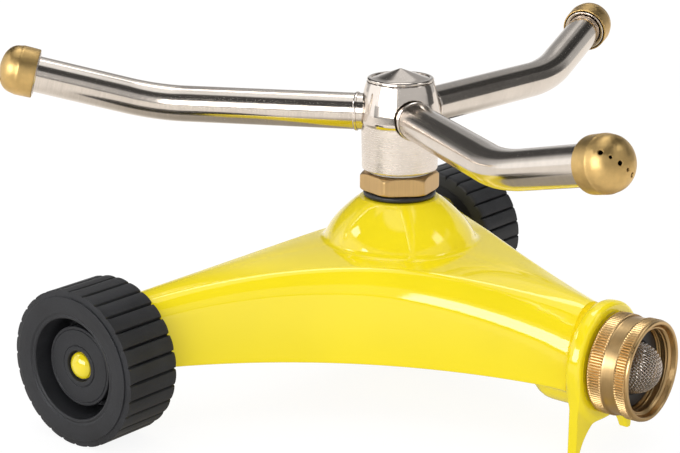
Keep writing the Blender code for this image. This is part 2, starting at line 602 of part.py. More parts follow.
def build_inlet():
    back = FLANGE_FACE + GAP + 0.7 * MM
    frame = along((1, 0, 0), (0, 0, INLET_HEIGHT))
    wall_end = back + COUPLING_WALL
    flange_back = wall_end + GAP
    flange_front = flange_back + TAILPIECE_FLANGE
    tail = [
        (TAILPIECE_BORE, flange_front), (TAILPIECE_FLANGE_RADIUS, flange_front),
        (TAILPIECE_FLANGE_RADIUS, flange_back), (TAILPIECE_RADIUS, flange_back),
        (TAILPIECE_RADIUS, FLANGE_FACE + GAP), (TAILPIECE_SHANK_RADIUS, FLANGE_FACE + GAP),
        (TAILPIECE_SHANK_RADIUS, FLANGE_FACE - TAILPIECE_SHANK),
        (TAILPIECE_BORE, FLANGE_FACE - TAILPIECE_SHANK),
    ]
    turned("inlet_tailpiece", tail, BRASS, ROOT, frame, MEDIUM)

    axis = empty("coupling_axis", ROOT, frame)
    front = back + COUPLING_LENGTH
    lip = 1.0 * MM
    outer = COUPLING_RADIUS
    waist = outer - COUPLING_WAIST
    mouth = COUPLING_BORE + COUPLING_MOUTH
    body = [
        (COUPLING_BORE, front - 1.8 * MM), (mouth, front - 0.6 * MM), (mouth + 0.4 * MM, front),
        (outer - 0.6 * MM, front), (outer - 0.2 * MM, front - lip), (outer, front - lip - 0.3 * MM),
        (outer, front - 5.2 * MM), (waist, front - 5.6 * MM), (waist, back + 5.4 * MM),
        (outer - 0.2 * MM, back + 5.0 * MM), (outer - 0.2 * MM, back + 0.6 * MM), (outer - 0.8 * MM, back),
        (TAILPIECE_RADIUS + GAP, back), (TAILPIECE_RADIUS + GAP, wall_end), (COUPLING_BORE, wall_end),
    ]
    turned("swivel_coupling", body, BRASS, axis, None, FINE)

    rim_back = flange_front + GAP
    rim_front = rim_back + SCREEN_RIM
    tip = rim_back + SCREEN_LENGTH
    outside = []
    inside = []
    for i in range(9):
        part = i / 8.0
        outside.append((SCREEN_RADIUS * math.cos(part * math.pi / 2.0) ** 0.8,
                        rim_front + (tip - rim_front) * math.sin(part * math.pi / 2.0)))
        inner = SCREEN_RADIUS - SCREEN_WALL
        inside.append((inner * math.cos(part * math.pi / 2.0) ** 0.8,
                       rim_back + (tip - SCREEN_WALL - rim_back) * math.sin(part * math.pi / 2.0)))
    outside[-1] = (0.0, tip)
    inside[-1] = (0.0, tip - SCREEN_WALL)
    screen = list(reversed(outside))
    screen += [(COUPLING_BORE - 2 * GAP, rim_front), (COUPLING_BORE - 2 * GAP, rim_back)]
    screen += inside
    turned("filter_screen", screen, STEEL_MESH, axis, None, SMALL, ring=False)

    washer_back = rim_front + GAP
    washer = [
        (SCREEN_RADIUS + GAP, washer_back + HOSE_WASHER), (COUPLING_BORE - GAP, washer_back + HOSE_WASHER),
        (COUPLING_BORE - GAP, washer_back), (SCREEN_RADIUS + GAP, washer_back),
    ]
    turned("hose_washer", washer, RUBBER, axis, None, MEDIUM)


# Spindle and hub

def build_spindle():
    floor = HUB_BOTTOM + HUB_FLOOR
    washer = [
        (SPINDLE_SHANK_RADIUS + GAP, DOME_TOP + GAP + BOSS_WASHER),
        (BOSS_WASHER_RADIUS, DOME_TOP + GAP + BOSS_WASHER), (BOSS_WASHER_RADIUS, DOME_TOP + GAP),
        (SPINDLE_SHANK_RADIUS + GAP, DOME_TOP + GAP),
    ]
    turned("boss_washer", washer, RUBBER, ROOT, None, MEDIUM)

    bm = bmesh.new()
    corner = HEX_FLATS / 2.0 / math.cos(math.pi / 6.0)
    bmesh.ops.create_cone(bm, cap_ends=True, segments=6, radius1=corner, radius2=corner, depth=HEX_HEIGHT,
                          matrix=Matrix.Translation((0, 0, HEX_BOTTOM + HEX_HEIGHT / 2.0))
                          @ Matrix.Rotation(math.radians(HEX_TURN), 4, "Z"))
    mesh = bpy.data.meshes.new("riser_spindle")
    bm.to_mesh(mesh)
    bm.free()
    spindle = add_object("riser_spindle", mesh, BRASS, ROOT)
    edge = corner - HEX_FLATS / 2.0
    chamfer = [
        (0.0, HEX_TOP + CUT), (corner - edge * 1.1 - CUT, HEX_TOP + CUT), (corner - edge * 1.1, HEX_TOP),
        (corner + CUT, HEX_TOP - 0.55 * (edge * 1.1 + CUT)), (corner + CUT, HEX_BOTTOM - CUT),
        (0.0, HEX_BOTTOM - CUT),
    ]
    boolean(spindle, turned("hex_chamfer", chamfer, None, ROOT, None, FINE, False, True), "INTERSECT")

    clip_bottom = floor + GAP + UPPER_THRUST + GAP
    clip_top = clip_bottom + CLIP_THICKNESS
    ports = ARM_HEIGHT
    top = ports + 4.0 * MM
    groove = SPINDLE_RADIUS - CLIP_GROOVE
    stem = [
        (0.0, top), (SPINDLE_RADIUS - 0.8 * MM, top), (SPINDLE_RADIUS, top - 0.8 * MM),
        (SPINDLE_RADIUS, clip_top + GAP), (groove, clip_top + GAP), (groove, clip_bottom - GAP),
        (SPINDLE_RADIUS, clip_bottom - GAP), (SPINDLE_RADIUS, HEX_BOTTOM + CUT),
        (SPINDLE_SHANK_RADIUS, HEX_BOTTOM + CUT), (SPINDLE_SHANK_RADIUS, HEX_BOTTOM - SPINDLE_SHANK),
        (0.0, HEX_BOTTOM - SPINDLE_SHANK),
    ]
    boolean(spindle, turned("spindle_stem", stem, None, ROOT, None, MEDIUM, False, True), "UNION")
    bore = cylinder_cutter("spindle_bore", SPINDLE_BORE, HEX_BOTTOM - SPINDLE_SHANK - CUT, ports + 2.4 * MM,
                           (0, 0, 1), (0, 0, 0))
    boolean(spindle, bore, "DIFFERENCE")
    for angle in (0.0, 90.0):
        port = cylinder_cutter("spindle_port", 2.0 * MM, -SPINDLE_RADIUS - CUT, SPINDLE_RADIUS + CUT,
                               flat_direction(angle), (0, 0, ports), 16)
        boolean(spindle, port, "DIFFERENCE")
    neck = SPINDLE_RADIUS + GAP
    rim = HUB_BOTTOM_RADIUS - LOWER_THRUST_INSET
    thrust = [
        (neck, HEX_TOP + GAP + LOWER_THRUST), (rim, HEX_TOP + GAP + LOWER_THRUST), (rim, HEX_TOP + GAP),
        (neck, HEX_TOP + GAP),
    ]
    turned("lower_thrust_washer", thrust, ACETAL, ROOT, None, MEDIUM)
    rim = SPINDLE_RADIUS + UPPER_THRUST_RIM
    upper = [
        (neck, floor + GAP + UPPER_THRUST), (rim, floor + GAP + UPPER_THRUST), (rim, floor + GAP),
        (neck, floor + GAP),
    ]
    turned("upper_thrust_washer", upper, ACETAL, ROOT, None, MEDIUM)
    rim = SPINDLE_RADIUS + CLIP_RIM
    clip = [
        (groove + GAP, clip_top), (rim, clip_top), (rim, clip_bottom),
        (groove + GAP, clip_bottom),
    ]
    ring = turned("retaining_clip", clip, STAINLESS, ROOT, None, MEDIUM)
    bm = bmesh.new()
    bmesh.ops.create_cube(bm, size=1.0)
    mesh = bpy.data.meshes.new("clip_opening")
    bm.to_mesh(mesh)
    bm.free()
    opening = Matrix.Translation((rim, 0, (clip_top + clip_bottom) / 2.0))
    opening @= Matrix.Diagonal((rim * 1.4, 7.0 * MM, 4.0 * MM, 1.0))
    boolean(ring, add_object("clip_opening", mesh, None, ROOT, opening, cutter=True), "DIFFERENCE")


def build_hub(rotor):
    bottom = HUB_BOTTOM
    floor = bottom + HUB_FLOOR
    top = bottom + HUB_HEIGHT
    skirt = bottom + HUB_SKIRT_HEIGHT
    neck = SPINDLE_RADIUS + GAP
    groove_middle = bottom + HUB_FLOOR / 2.0
    groove_half = SEAL_DIAMETER / 2.0 + GAP
    groove_radius = neck + SEAL_DIAMETER + GAP
    ledge = top - HUB_CAP_PLUG
    body = [
        (HUB_CHAMBER_RADIUS, top), (HUB_TOP_RADIUS - 0.8 * MM, top),
        (HUB_TOP_RADIUS - 0.2 * MM, top - 0.3 * MM),
        (HUB_TOP_RADIUS, top - 0.9 * MM),
        (HUB_SKIRT_RADIUS, skirt), (HUB_SKIRT_RADIUS, skirt - 0.5 * MM), (HUB_WAIST_RADIUS, skirt - 1.2 * MM),
        (HUB_BOTTOM_RADIUS, bottom + 0.6 * MM), (HUB_BOTTOM_RADIUS - 0.5 * MM, bottom), (neck, bottom),
        (neck, groove_middle - groove_half), (groove_radius, groove_middle - groove_half),
        (groove_radius, groove_middle + groove_half), (neck, groove_middle + groove_half), (neck, floor),
        (HUB_CHAMBER_RADIUS, floor), (HUB_CHAMBER_RADIUS, ledge),
    ]
    hub = turned("rotor_hub", body, NICKEL, rotor, None, FINE)
    for angle in ARM_REST_ANGLES:
        socket = cylinder_cutter("arm_socket", TUBE_SOCKET, HUB_CHAMBER_RADIUS - 3.0 * MM,
                                 HUB_SKIRT_RADIUS + 2.0 * MM, flat_direction(angle),
                                 (0, 0, ARM_HEIGHT), MEDIUM)
        boolean(hub, socket, "DIFFERENCE")

    seal = arc_points((neck + SEAL_DIAMETER / 2.0, groove_middle), SEAL_DIAMETER / 2.0, 90.0, -270.0, 6)[:-1]
    turned("rotary_seal", seal, RUBBER, rotor, None, SMALL)

    cap_bottom = top + GAP
    rise = HUB_CAP_RISE
    cap = [
        (0.0, cap_bottom + rise), (1.2 * MM, cap_bottom + rise - 0.12 * MM),
        (0.55 * HUB_CAP_RADIUS, cap_bottom + 0.62 * rise), (0.93 * HUB_CAP_RADIUS, cap_bottom + 0.3 * rise),
        (HUB_CAP_RADIUS - 0.25 * MM, cap_bottom + 0.19 * rise), (HUB_CAP_RADIUS, cap_bottom + 0.1 * rise),
        (HUB_CAP_RADIUS - 0.1 * MM, cap_bottom), (HUB_CHAMBER_RADIUS - GAP, cap_bottom),
        (HUB_CHAMBER_RADIUS - GAP, ledge + 0.4 * MM), (0.0, ledge + 0.4 * MM),
    ]
    turned("hub_cap", cap, NICKEL, rotor, None, FINE, ring=False)


# Arms and nozzles

def end_direction(angle):
    """Direction of an arm's bent end: sideways and upwards from its hub part."""
    outwards = flat_direction(angle)
    sideways = Vector((-outwards.y, outwards.x, 0.0))
    lateral = math.radians(ELBOW_SIDEWAYS)
    upward = math.radians(ELBOW_UPWARDS)
    level = outwards * math.cos(lateral) + sideways * math.sin(lateral)
    return level * math.cos(upward) + Vector((0, 0, math.sin(upward)))


def arm_path(angle, start, end):
    """Points along a tube's middle, with a round elbow."""
    outwards = flat_direction(angle)
    away = end_direction(angle)
    elbow = outwards * ELBOW_REACH + Vector((0, 0, ARM_HEIGHT))
    bend = outwards.angle(away)
    tangent = ELBOW_RADIUS * math.tan(bend / 2.0)
    first = elbow - outwards * tangent
    inwards = (away - outwards * away.dot(outwards)).normalized()
    points = [outwards * start + Vector((0, 0, ARM_HEIGHT))]
    for i in range(ELBOW_STEPS + 1):
        turn = bend * i / ELBOW_STEPS
        points.append(first + outwards * ELBOW_RADIUS * math.sin(turn)
                      + inwards * ELBOW_RADIUS * (1.0 - math.cos(turn)))
    points.append(elbow + away * end)
    return points


def tube_mesh(name, points, radius):
    """A round bar along points, as a closed mesh."""
    curve = bpy.data.curves.new(name, "CURVE")
    curve.dimensions = "3D"
    curve.bevel_depth = radius
    curve.bevel_resolution = 4
    curve.use_fill_caps = True
    spline = curve.splines.new("POLY")
    spline.points.add(len(points) - 1)
    for point, place in zip(spline.points, points):
        point.co = (*place, 1.0)
    bar = bpy.data.objects.new(name + "_path", curve)
    CUTTERS.objects.link(bar)
    mesh = evaluated(bar, name)
    mesh.name = name
    bm = bmesh.new()
    bm.from_mesh(mesh)
    bmesh.ops.remove_doubles(bm, verts=bm.verts, dist=0.00001)
    bmesh.ops.recalc_face_normals(bm, faces=bm.faces)
    bm.to_mesh(mesh)
    bm.free()
    bpy.data.objects.remove(bar, do_unlink=True)
    mesh.shade_smooth()
    mesh.set_sharp_from_angle(angle=math.radians(35.0))
    return mesh


def nozzle_profile():
    """The cap from its rim at height 0 to its tip, first outside, then inside."""
    dome = NOZZLE_LENGTH - NOZZLE_STRAIGHT
    outside = [(0.0, NOZZLE_LENGTH)]
    for i in range(1, 6):
        turn = math.radians(90.0 * i / 5)
        outside.append((NOZZLE_RADIUS * math.sin(turn), NOZZLE_STRAIGHT + dome * math.cos(turn) ** 0.85))
    outside[-1] = (NOZZLE_RADIUS, NOZZLE_STRAIGHT)
    outside += [(NOZZLE_RADIUS, 0.3 * MM), (NOZZLE_RADIUS - 0.25 * MM, 0.0)]
    inside = [(NOZZLE_BORE, 0.0), (NOZZLE_BORE, NOZZLE_STRAIGHT)]
    for i in range(1, 4):
        turn = math.radians(90.0 * (3 - i) / 3)
        inside.append((NOZZLE_BORE * math.sin(turn),
                       NOZZLE_STRAIGHT + (dome - NOZZLE_WALL) * math.cos(turn) ** 0.85))
    inside[-1] = (0.0, NOZZLE_LENGTH - NOZZLE_WALL)
    return outside + inside


def build_arm(number, angle, rotor):
    away = end_direction(angle)
    elbow = flat_direction(angle) * ELBOW_REACH + Vector((0, 0, ARM_HEIGHT))
    rim_distance = TIP_REACH - NOZZLE_LENGTH
    tube_end = rim_distance + NOZZLE_SOCKET
    name = "arm_tube_%d" % number
    pipe = tube_mesh(name, arm_path(angle, TUBE_START, tube_end), TUBE_RADIUS)
    tube = add_object(name, pipe, STAINLESS, rotor)
    bore = tube_mesh(name + "_bore", arm_path(angle, TUBE_START - CUT, tube_end + CUT), TUBE_BORE)
    boolean(tube, add_object(name + "_bore", bore, None, rotor, cutter=True), "DIFFERENCE")

    root = along(flat_direction(angle), (0, 0, ARM_HEIGHT))
    end = COLLAR_START + COLLAR_LENGTH
    hole = TUBE_SOCKET
    collar = [
        (hole, end), (hole + 0.3 * MM, end), (COLLAR_RADIUS - 0.2 * MM, end - 0.7 * MM),
        (COLLAR_RADIUS, end - 1.3 * MM), (COLLAR_RADIUS, COLLAR_START), (hole, COLLAR_START),
    ]
    turned("arm_collar_%d" % number, collar, NICKEL, rotor, root, SMALL)

    # The cap's frame: Z along the tube's end, X level and sideways
    side = away.cross(Vector((0, 0, 1))).normalized()
    turn = Matrix((side, away.cross(side), away)).transposed().to_4x4()
    frame = Matrix.Translation(elbow + away * rim_distance) @ turn
    nozzle_axis = empty("nozzle_axis_%d" % number, rotor, frame)
    cap = turned("nozzle_cap_%d" % number, nozzle_profile(), BRASS, nozzle_axis, None, MEDIUM, ring=False)
    lean = math.radians(JET_ROW_LEAN)
    for place, radius in zip(JET_PLACES, JET_RADII):
        across = JET_ROW_OFFSET + place * MM * math.cos(lean)
        up = -place * MM * math.sin(lean)
        heart = Vector((0, 0, NOZZLE_STRAIGHT))
        rim_part = (across ** 2 + up ** 2) / NOZZLE_RADIUS ** 2
        rise = (NOZZLE_LENGTH - NOZZLE_STRAIGHT) * (1.0 - rim_part) ** 0.43
        out = Vector((across, up, rise)).normalized()
        drill = turned("jet_drill", [(0.0, 12.0 * MM), (radius * MM, 12.0 * MM), (radius * MM, 1.5 * MM),
                                     (0.0, 1.5 * MM)], None, nozzle_axis, along(out, heart), 8, False, True)
        boolean(cap, drill, "DIFFERENCE")

    ferrule = [
        (hole, FERRULE_LENGTH), (NOZZLE_BORE - GAP, FERRULE_LENGTH),
        (NOZZLE_BORE - GAP, -FERRULE_PROUD + 0.2 * MM),
        (NOZZLE_BORE - GAP - 0.2 * MM, -FERRULE_PROUD), (hole, -FERRULE_PROUD),
    ]
    turned("nozzle_ferrule_%d" % number, ferrule, NICKEL, nozzle_axis, None, SMALL)
    middle = FERRULE_LENGTH + GAP + NOZZLE_SEAL_DIAMETER / 2.0
    seal_centre = TUBE_SOCKET + NOZZLE_SEAL_DIAMETER / 2.0
    seal = arc_points((seal_centre, middle), NOZZLE_SEAL_DIAMETER / 2.0, 90.0, -270.0, 6)[:-1]
    turned("nozzle_seal_%d" % number, seal, RUBBER, rotor, frame, SMALL)


def centre_footprint():
    """Move everything so that the middle of the footprint, on the ground, is the origin."""
    bpy.context.view_layer.update()
    depsgraph = bpy.context.evaluated_depsgraph_get()
    low = Vector((1.0, 1.0, 1.0))
    high = -low
    for made in PARTS.objects:
        if made.type != "MESH":
            continue
        solid = made.evaluated_get(depsgraph)
        for vertex in solid.to_mesh().vertices:
            place = made.matrix_world @ vertex.co
            low = Vector(map(min, low, place))
            high = Vector(map(max, high, place))
        solid.to_mesh_clear()
    ROOT.location = (-(low.x + high.x) / 2.0, -(low.y + high.y) / 2.0, -low.z)


build_casting()
build_wheel("left", -1.0)
build_wheel("right", 1.0)
build_inlet()
rotor_axis = empty("rotor_axis", ROOT, Matrix.Identity(4))
build_spindle()
build_hub(rotor_axis)
for arm_number, arm_angle in enumerate(ARM_REST_ANGLES, 1):
    build_arm(arm_number, arm_angle, rotor_axis)
centre_footprint()
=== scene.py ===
"""Detailed look of a rotary lawn sprinkler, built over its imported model.

Laid out as an add-on and run as a script. Lengths in the code are millimetres in the
sprinkler's own frame: the rotor's axis at x = y = 0, the hose inlet along +X, the ground at
z = 0. Settings that a user would change are in metres, and START moves a finished mesh to
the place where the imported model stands.
"""

import json
import math
from math import cos, pi, radians, sin

import bmesh
import bpy
import numpy as np
from bpy.props import FloatProperty, FloatVectorProperty, IntProperty, PointerProperty
from bpy.types import Operator, Panel, PropertyGroup
from mathutils import Matrix, Vector


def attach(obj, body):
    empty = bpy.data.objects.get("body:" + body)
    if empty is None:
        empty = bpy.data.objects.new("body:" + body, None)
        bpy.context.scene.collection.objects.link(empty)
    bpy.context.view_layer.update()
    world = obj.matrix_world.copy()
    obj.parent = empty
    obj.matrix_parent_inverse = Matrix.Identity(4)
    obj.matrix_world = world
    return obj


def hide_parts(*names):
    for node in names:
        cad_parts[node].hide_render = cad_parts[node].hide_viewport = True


bl_info = {
    "name": "Rotary sprinkler",
    "version": (1, 0, 0),
    "blender": (4, 5, 0),
    "location": "3D View > Sidebar > Sprinkler",
    "description": "Builds the finished pieces of a rotary lawn sprinkler over its packed model",
    "category": "Object",
}

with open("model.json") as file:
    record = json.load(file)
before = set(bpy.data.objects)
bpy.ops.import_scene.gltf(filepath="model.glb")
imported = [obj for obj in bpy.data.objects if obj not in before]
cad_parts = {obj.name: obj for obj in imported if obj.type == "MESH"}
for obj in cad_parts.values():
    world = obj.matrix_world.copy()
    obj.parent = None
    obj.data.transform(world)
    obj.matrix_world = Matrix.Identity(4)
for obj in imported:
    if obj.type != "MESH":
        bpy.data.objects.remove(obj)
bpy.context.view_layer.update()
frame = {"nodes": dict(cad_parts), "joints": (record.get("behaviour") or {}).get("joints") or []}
NODES = frame["nodes"]
JOINTS = {joint["name"]: joint for joint in frame["joints"]}
MM = 0.001
START = Vector(JOINTS["rotor_spin"]["pos_m"][:2] + [0])

# Main sizes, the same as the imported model's
INLET_HEIGHT = 28.35
AXLE = (-49, 26.5)                  # x and z of the wheels' axles
WHEEL_INNER_Y = 89.6
WHEEL_WIDTH = 22.8
WHEEL_RADIUS = 26.5
DOME_TOP = 70
ARM_HEIGHT = 99.3
ARM_REST_ANGLES = (207.36, 327.36, 87.36)
TUBE_RADIUS = 6.35
COUPLING_BACK = 87.4
COUPLING_FRONT = 102.4
KNURL_RADIUS = 16.87
SIDES = (("left", -1), ("right", 1))


# Settings

def count_setting(name, description, default, low, high):
    return IntProperty(name=name, description=description, default=default, min=low, max=high)


def length_setting(name, description, default, low, high):
    return FloatProperty(name=name, description=description, default=default, min=low, max=high,
                         precision=5, unit="LENGTH")


def colour_setting(name, description, default):
    return FloatVectorProperty(name=name, description=description, default=default, min=0, max=1,
                               size=3, subtype="COLOR")


class SprinklerShape(PropertyGroup):
    """Sizes of the repeated details."""
    casting_cell: length_setting(
        "Casting cell", "Width of the casting's mesh cells before refinement", 0.0014, 0.001, 0.004)
    tread_blocks: count_setting("Tread blocks", "Number of blocks round a wheel", 28, 8, 60)
    tread_depth: length_setting(
        "Tread depth", "Depth of the grooves between the wheel's blocks", 0.00115, 0, 0.003)
    tread_groove: FloatProperty(
        name="Groove share", description="Half width of a groove, as a share of a block",
        default=0.1, min=0.02, max=0.5, subtype="FACTOR")
    knurl_count: count_setting("Knurls", "Number of ribs round each band of the coupling", 112, 20, 160)
    knurl_depth: length_setting(
        "Knurl depth", "Depth of the grooves in the coupling's bands", 0.00038, 0, 0.001)
    thread_pitch: length_setting(
        "Thread pitch", "Distance between two turns of the hose thread", 0.0022, 0.001, 0.005)
    wire_pitch: length_setting(
        "Wire pitch", "Distance between two wires of the filter's mesh", 0.00094, 0.0005, 0.003)
    wire_diameter: length_setting(
        "Wire diameter", "Thickness of one wire of the filter's mesh", 0.00025, 0.0001, 0.001)


class SprinklerColours(PropertyGroup):
    """Base colours of the finishes."""
    paint: colour_setting("Paint", "Glossy enamel of the casting", (0.93, 0.75, 0.012))
    brass: colour_setting("Cast brass", "Nozzle caps", (0.62, 0.42, 0.165))
    turned_brass: colour_setting("Turned brass", "Coupling and hexagon", (0.57, 0.385, 0.18))
    nickel: colour_setting("Nickel", "Hub and rings", (0.76, 0.69, 0.625))
    steel: colour_setting("Stainless steel", "Arms and filter", (0.70, 0.635, 0.57))
    plastic: colour_setting("Black plastic", "Wheels", (0.022, 0.0225, 0.025))
    rubber: colour_setting("Rubber", "Washers and seals", (0.012, 0.013, 0.016))
    acetal: colour_setting("Acetal", "Thrust washers", (0.80, 0.79, 0.74))


# Small helpers for node trees

class Link:
    """A node's output. A sum or product with it adds a Math node and gives that one's output."""

    def __init__(self, socket):
        self.socket, self.tree = socket, socket.id_data

    __add__ = lambda self, other: calc("ADD", self, other)
    __sub__ = lambda self, other: calc("SUBTRACT", self, other)
    __rsub__ = lambda self, other: calc("SUBTRACT", other, self)
    __mul__ = lambda self, other: calc("MULTIPLY", self, other)
    __truediv__ = lambda self, other: calc("DIVIDE", self, other)


def plug(node, inputs):
    """Give a node's inputs a value or a link."""
    for name, value in inputs.items():
        if isinstance(value, Link):
            node.id_data.links.new(value.socket, node.inputs[name])
        else:
            node.inputs[name].default_value = value


def add(tree, kind, inputs=None, output=0, **options):
    """Add a node with its options and inputs, and give one of its outputs."""
    node = tree.nodes.new(kind)
    for name, value in options.items():
        setattr(node, name, value)
    plug(node, inputs or {})
    return Link(node.outputs[output]) if node.outputs else None


def tree_of(values):
    return next(value.tree for value in values if isinstance(value, Link))


def calc(operation, *values):
    """Output of a Math node, of whose values at least one is a link."""
    return add(tree_of(values), "ShaderNodeMath", dict(enumerate(values)), operation=operation)


def vector_calc(operation, *values):
    """Output of a Vector Math node, the number where the operation gives one."""
    output = 1 if operation in {"DOT_PRODUCT", "LENGTH"} else 0
    return add(tree_of(values), "ShaderNodeVectorMath", dict(enumerate(values)), output, operation=operation)


def scaled_vector(vector, factor):
    return add(vector.tree, "ShaderNodeVectorMath", {0: vector, 3: factor}, operation="SCALE")


def split(vector):
    node = vector.tree.nodes.new("ShaderNodeSeparateXYZ")
    plug(node, {0: vector})
    return [Link(socket) for socket in node.outputs]


def combined(tree, **values):
    return add(tree, "ShaderNodeCombineXYZ", values)


def fade(value, start, end, low=0, high=1):
    """Map a value smoothly between start and end to low and high, held outside them."""
    given = dict(enumerate((value, start, end, low, high)))
    return add(value.tree, "ShaderNodeMapRange", given, interpolation_type="SMOOTHSTEP")


def mixed(share, a, b):
    return add(share.tree, "ShaderNodeMix", {0: share, 2: a, 3: b}, data_type="FLOAT")


def mixed_colour(share, a, b):
    return add(share.tree, "ShaderNodeMix", {0: share, 6: a, 7: b}, 2, data_type="RGBA")


# Fields: signed distances in millimetres, negative inside, that casting-like pieces are meshed from

def smooth_union(a, b, blend):
    share = np.clip(0.5 + 0.5 * (b - a) / blend, 0, 1)
    return b * (1 - share) + a * share - blend * share * (1 - share)


def smooth_common(a, b, blend):
    return -smooth_union(-a, -b, blend)


def rounded(corners, steps=5):
    """Closed outline whose corners, given as (x, y, radius), are rounded."""
    outline = []
    for i, (x, y, radius) in enumerate(corners):
        here = Vector((x, y))
        back = Vector(corners[i - 1][:2]) - here
        ahead = Vector(corners[(i + 1) % len(corners)][:2]) - here
        half = back.angle(ahead) / 2
        reach = min(radius / max(math.tan(half), 1e-6), 0.49 * back.length, 0.49 * ahead.length)
        if radius <= 0 or reach < 1e-4:
            outline.append((x, y))
            continue
        back.normalize()
        ahead.normalize()
        centre = here + (back + ahead).normalized() * (reach / cos(half))
        start = here + back * reach - centre
        end = here + ahead * reach - centre
        sweep = start.angle(end)
        for step in range(steps + 1):
            part = step / steps
            spot = (start * sin((1 - part) * sweep) + end * sin(part * sweep)) / sin(sweep)
            outline.append(tuple(centre + spot))
    return outline


def outline_distance(x, y, outline):
    """Signed distance from points to a closed outline."""
    best = np.full(x.shape, 1e9)
    inside = np.zeros(x.shape, bool)
    for (ax, ay), (bx, by) in zip(outline, outline[1:] + outline[:1]):
        ex, ey = bx - ax, by - ay
        wx, wy = x - ax, y - ay
        part = np.clip((wx * ex + wy * ey) / max(ex * ex + ey * ey, 1e-12), 0, 1)
        best = np.minimum(best, (wx - ex * part) ** 2 + (wy - ey * part) ** 2)
        if ey != 0:
            inside ^= ((ay > y) != (by > y)) & (x < ex * (y - ay) / ey + ax)
    return np.where(inside, -1, 1) * np.sqrt(best)


def capped(radial, along, radius, low, high):
    """Distance to a cylinder of which radial and along are a point's place."""
    return np.maximum(radial - radius, np.maximum(low - along, along - high))


def cell_surface(field, low, high, cell):
    """Quads round the cells that the field's zero surface passes through."""
    axes = [np.arange(a, b + cell, cell) for a, b in zip(low, high)]
    value = np.empty([len(a) for a in axes])
    for i, x in enumerate(axes[0]):
        slab = np.stack(np.meshgrid([x], axes[1], axes[2], indexing="ij"), -1).reshape(-1, 3)
        value[i] = field(slab).reshape(value.shape[1:])
    inside = value < 0
    cells = [n - 1 for n in value.shape]
    total, count = np.zeros(cells + [3]), np.zeros(cells)
    crossings = []
    for axis in range(3):
        first, second = [slice(None)] * 3, [slice(None)] * 3
        first[axis], second[axis] = slice(0, -1), slice(1, None)
        first, second = tuple(first), tuple(second)
        crossed = inside[first] != inside[second]
        where = np.argwhere(crossed)
        a, b = value[first][crossed], value[second][crossed]
        spot = where.astype(float)
        spot[:, axis] += a / (a - b)
        crossings.append((axis, where, inside[first][crossed]))
        others = [other for other in range(3) if other != axis]
        for shift in ((0, 0), (1, 0), (0, 1), (1, 1)):
            at = where.copy()
            at[:, others] -= shift
            keep = ((at >= 0) & (at < cells)).all(1)
            index = tuple(at[keep].T)
            np.add.at(total, index, spot[keep])
            np.add.at(count, index, 1)
    used = count > 0
    number = np.full(cells, -1)
    number[used] = np.arange(used.sum())
    points = total[used] / count[used][:, None] * cell + np.array([a[0] for a in axes])
    quads = []
    for axis, where, starts_inside in crossings:
        b, c = (axis + 1) % 3, (axis + 2) % 3
        keep = (where[:, b] > 0) & (where[:, b] < cells[b]) & (where[:, c] > 0) & (where[:, c] < cells[c])
        where, starts_inside = where[keep], starts_inside[keep]
        ring = []
        for shift in ((-1, -1), (0, -1), (0, 0), (-1, 0)):
            at = where.copy()
            at[:, [b, c]] += shift
            ring.append(number[tuple(at.T)])
        ring = np.stack(ring, 1)
        ring[~starts_inside] = ring[~starts_inside][:, ::-1]
        quads.append(ring)
    return points, np.concatenate(quads)


def slope(field, points, step=0.02):
    """The field's gradient at points, and its size."""
    made = np.empty_like(points)
    for axis in range(3):
        shift = np.zeros(3)
        shift[axis] = step
        made[:, axis] = (field(points + shift) - field(points - shift)) / (2 * step)
    return made, np.linalg.norm(made, axis=1)


def pull_to_surface(field, points, reach, rounds=4):
    for _ in range(rounds):
        gradient, size = slope(field, points)
        size = np.maximum(size, 0.2)
        move = np.clip(field(points) / size, -reach, reach)
        points = points - gradient / size[:, None] * move[:, None]
    return points


def unit_normals(field, points):
    gradient, size = slope(field, points)
    return gradient / np.maximum(size, 1e-9)[:, None]


def refine(field, points, triangles, bend, shortest, rounds):
    """Split the edges across which the surface turns by more than bend degrees."""
    limit = cos(radians(bend))
    for _ in range(rounds):
        normals = unit_normals(field, points)
        edges = np.sort(triangles[:, [[0, 1], [1, 2], [2, 0]]].reshape(-1, 2), axis=1)
        edges, back = np.unique(edges, axis=0, return_inverse=True)
        a, b = edges.T
        turned = (normals[a] * normals[b]).sum(1) < limit
        marked = turned & (np.linalg.norm(points[a] - points[b], axis=1) > shortest)
        if not marked.any():
            break
        middle = np.full(len(edges), -1)
        middle[marked] = len(points) + np.arange(marked.sum())
        fresh = (points[a[marked]] + points[b[marked]]) / 2
        points = np.concatenate([points, pull_to_surface(field, fresh, shortest, 3)])
        split_at = middle[back.reshape(-1)].reshape(-1, 3)
        many = (split_at >= 0).sum(1)
        # Turn each triangle so that its split edges come first
        first = np.zeros(len(triangles), int)
        first[many == 1] = np.argmax(split_at[many == 1] >= 0, axis=1)
        first[many == 2] = (np.argmax(split_at[many == 2] < 0, axis=1) + 1) % 3
        order = (first[:, None] + np.arange(3)) % 3
        corner = np.take_along_axis(triangles, order, 1)
        (a, b, c), (m, n, p) = corner.T, np.take_along_axis(split_at, order, 1).T
        cuts = ((1, "amc mbc"), (2, "mbn amn anc"), (3, "amp mbn pnc mnp"))
        names = {"a": a, "b": b, "c": c, "m": m, "n": n, "p": p}
        triangles = np.concatenate([corner[many == 0]] + [
            np.stack([names[letter] for letter in cut], 1)[many == number]
            for number, group in cuts for cut in group.split()])
    return points, triangles


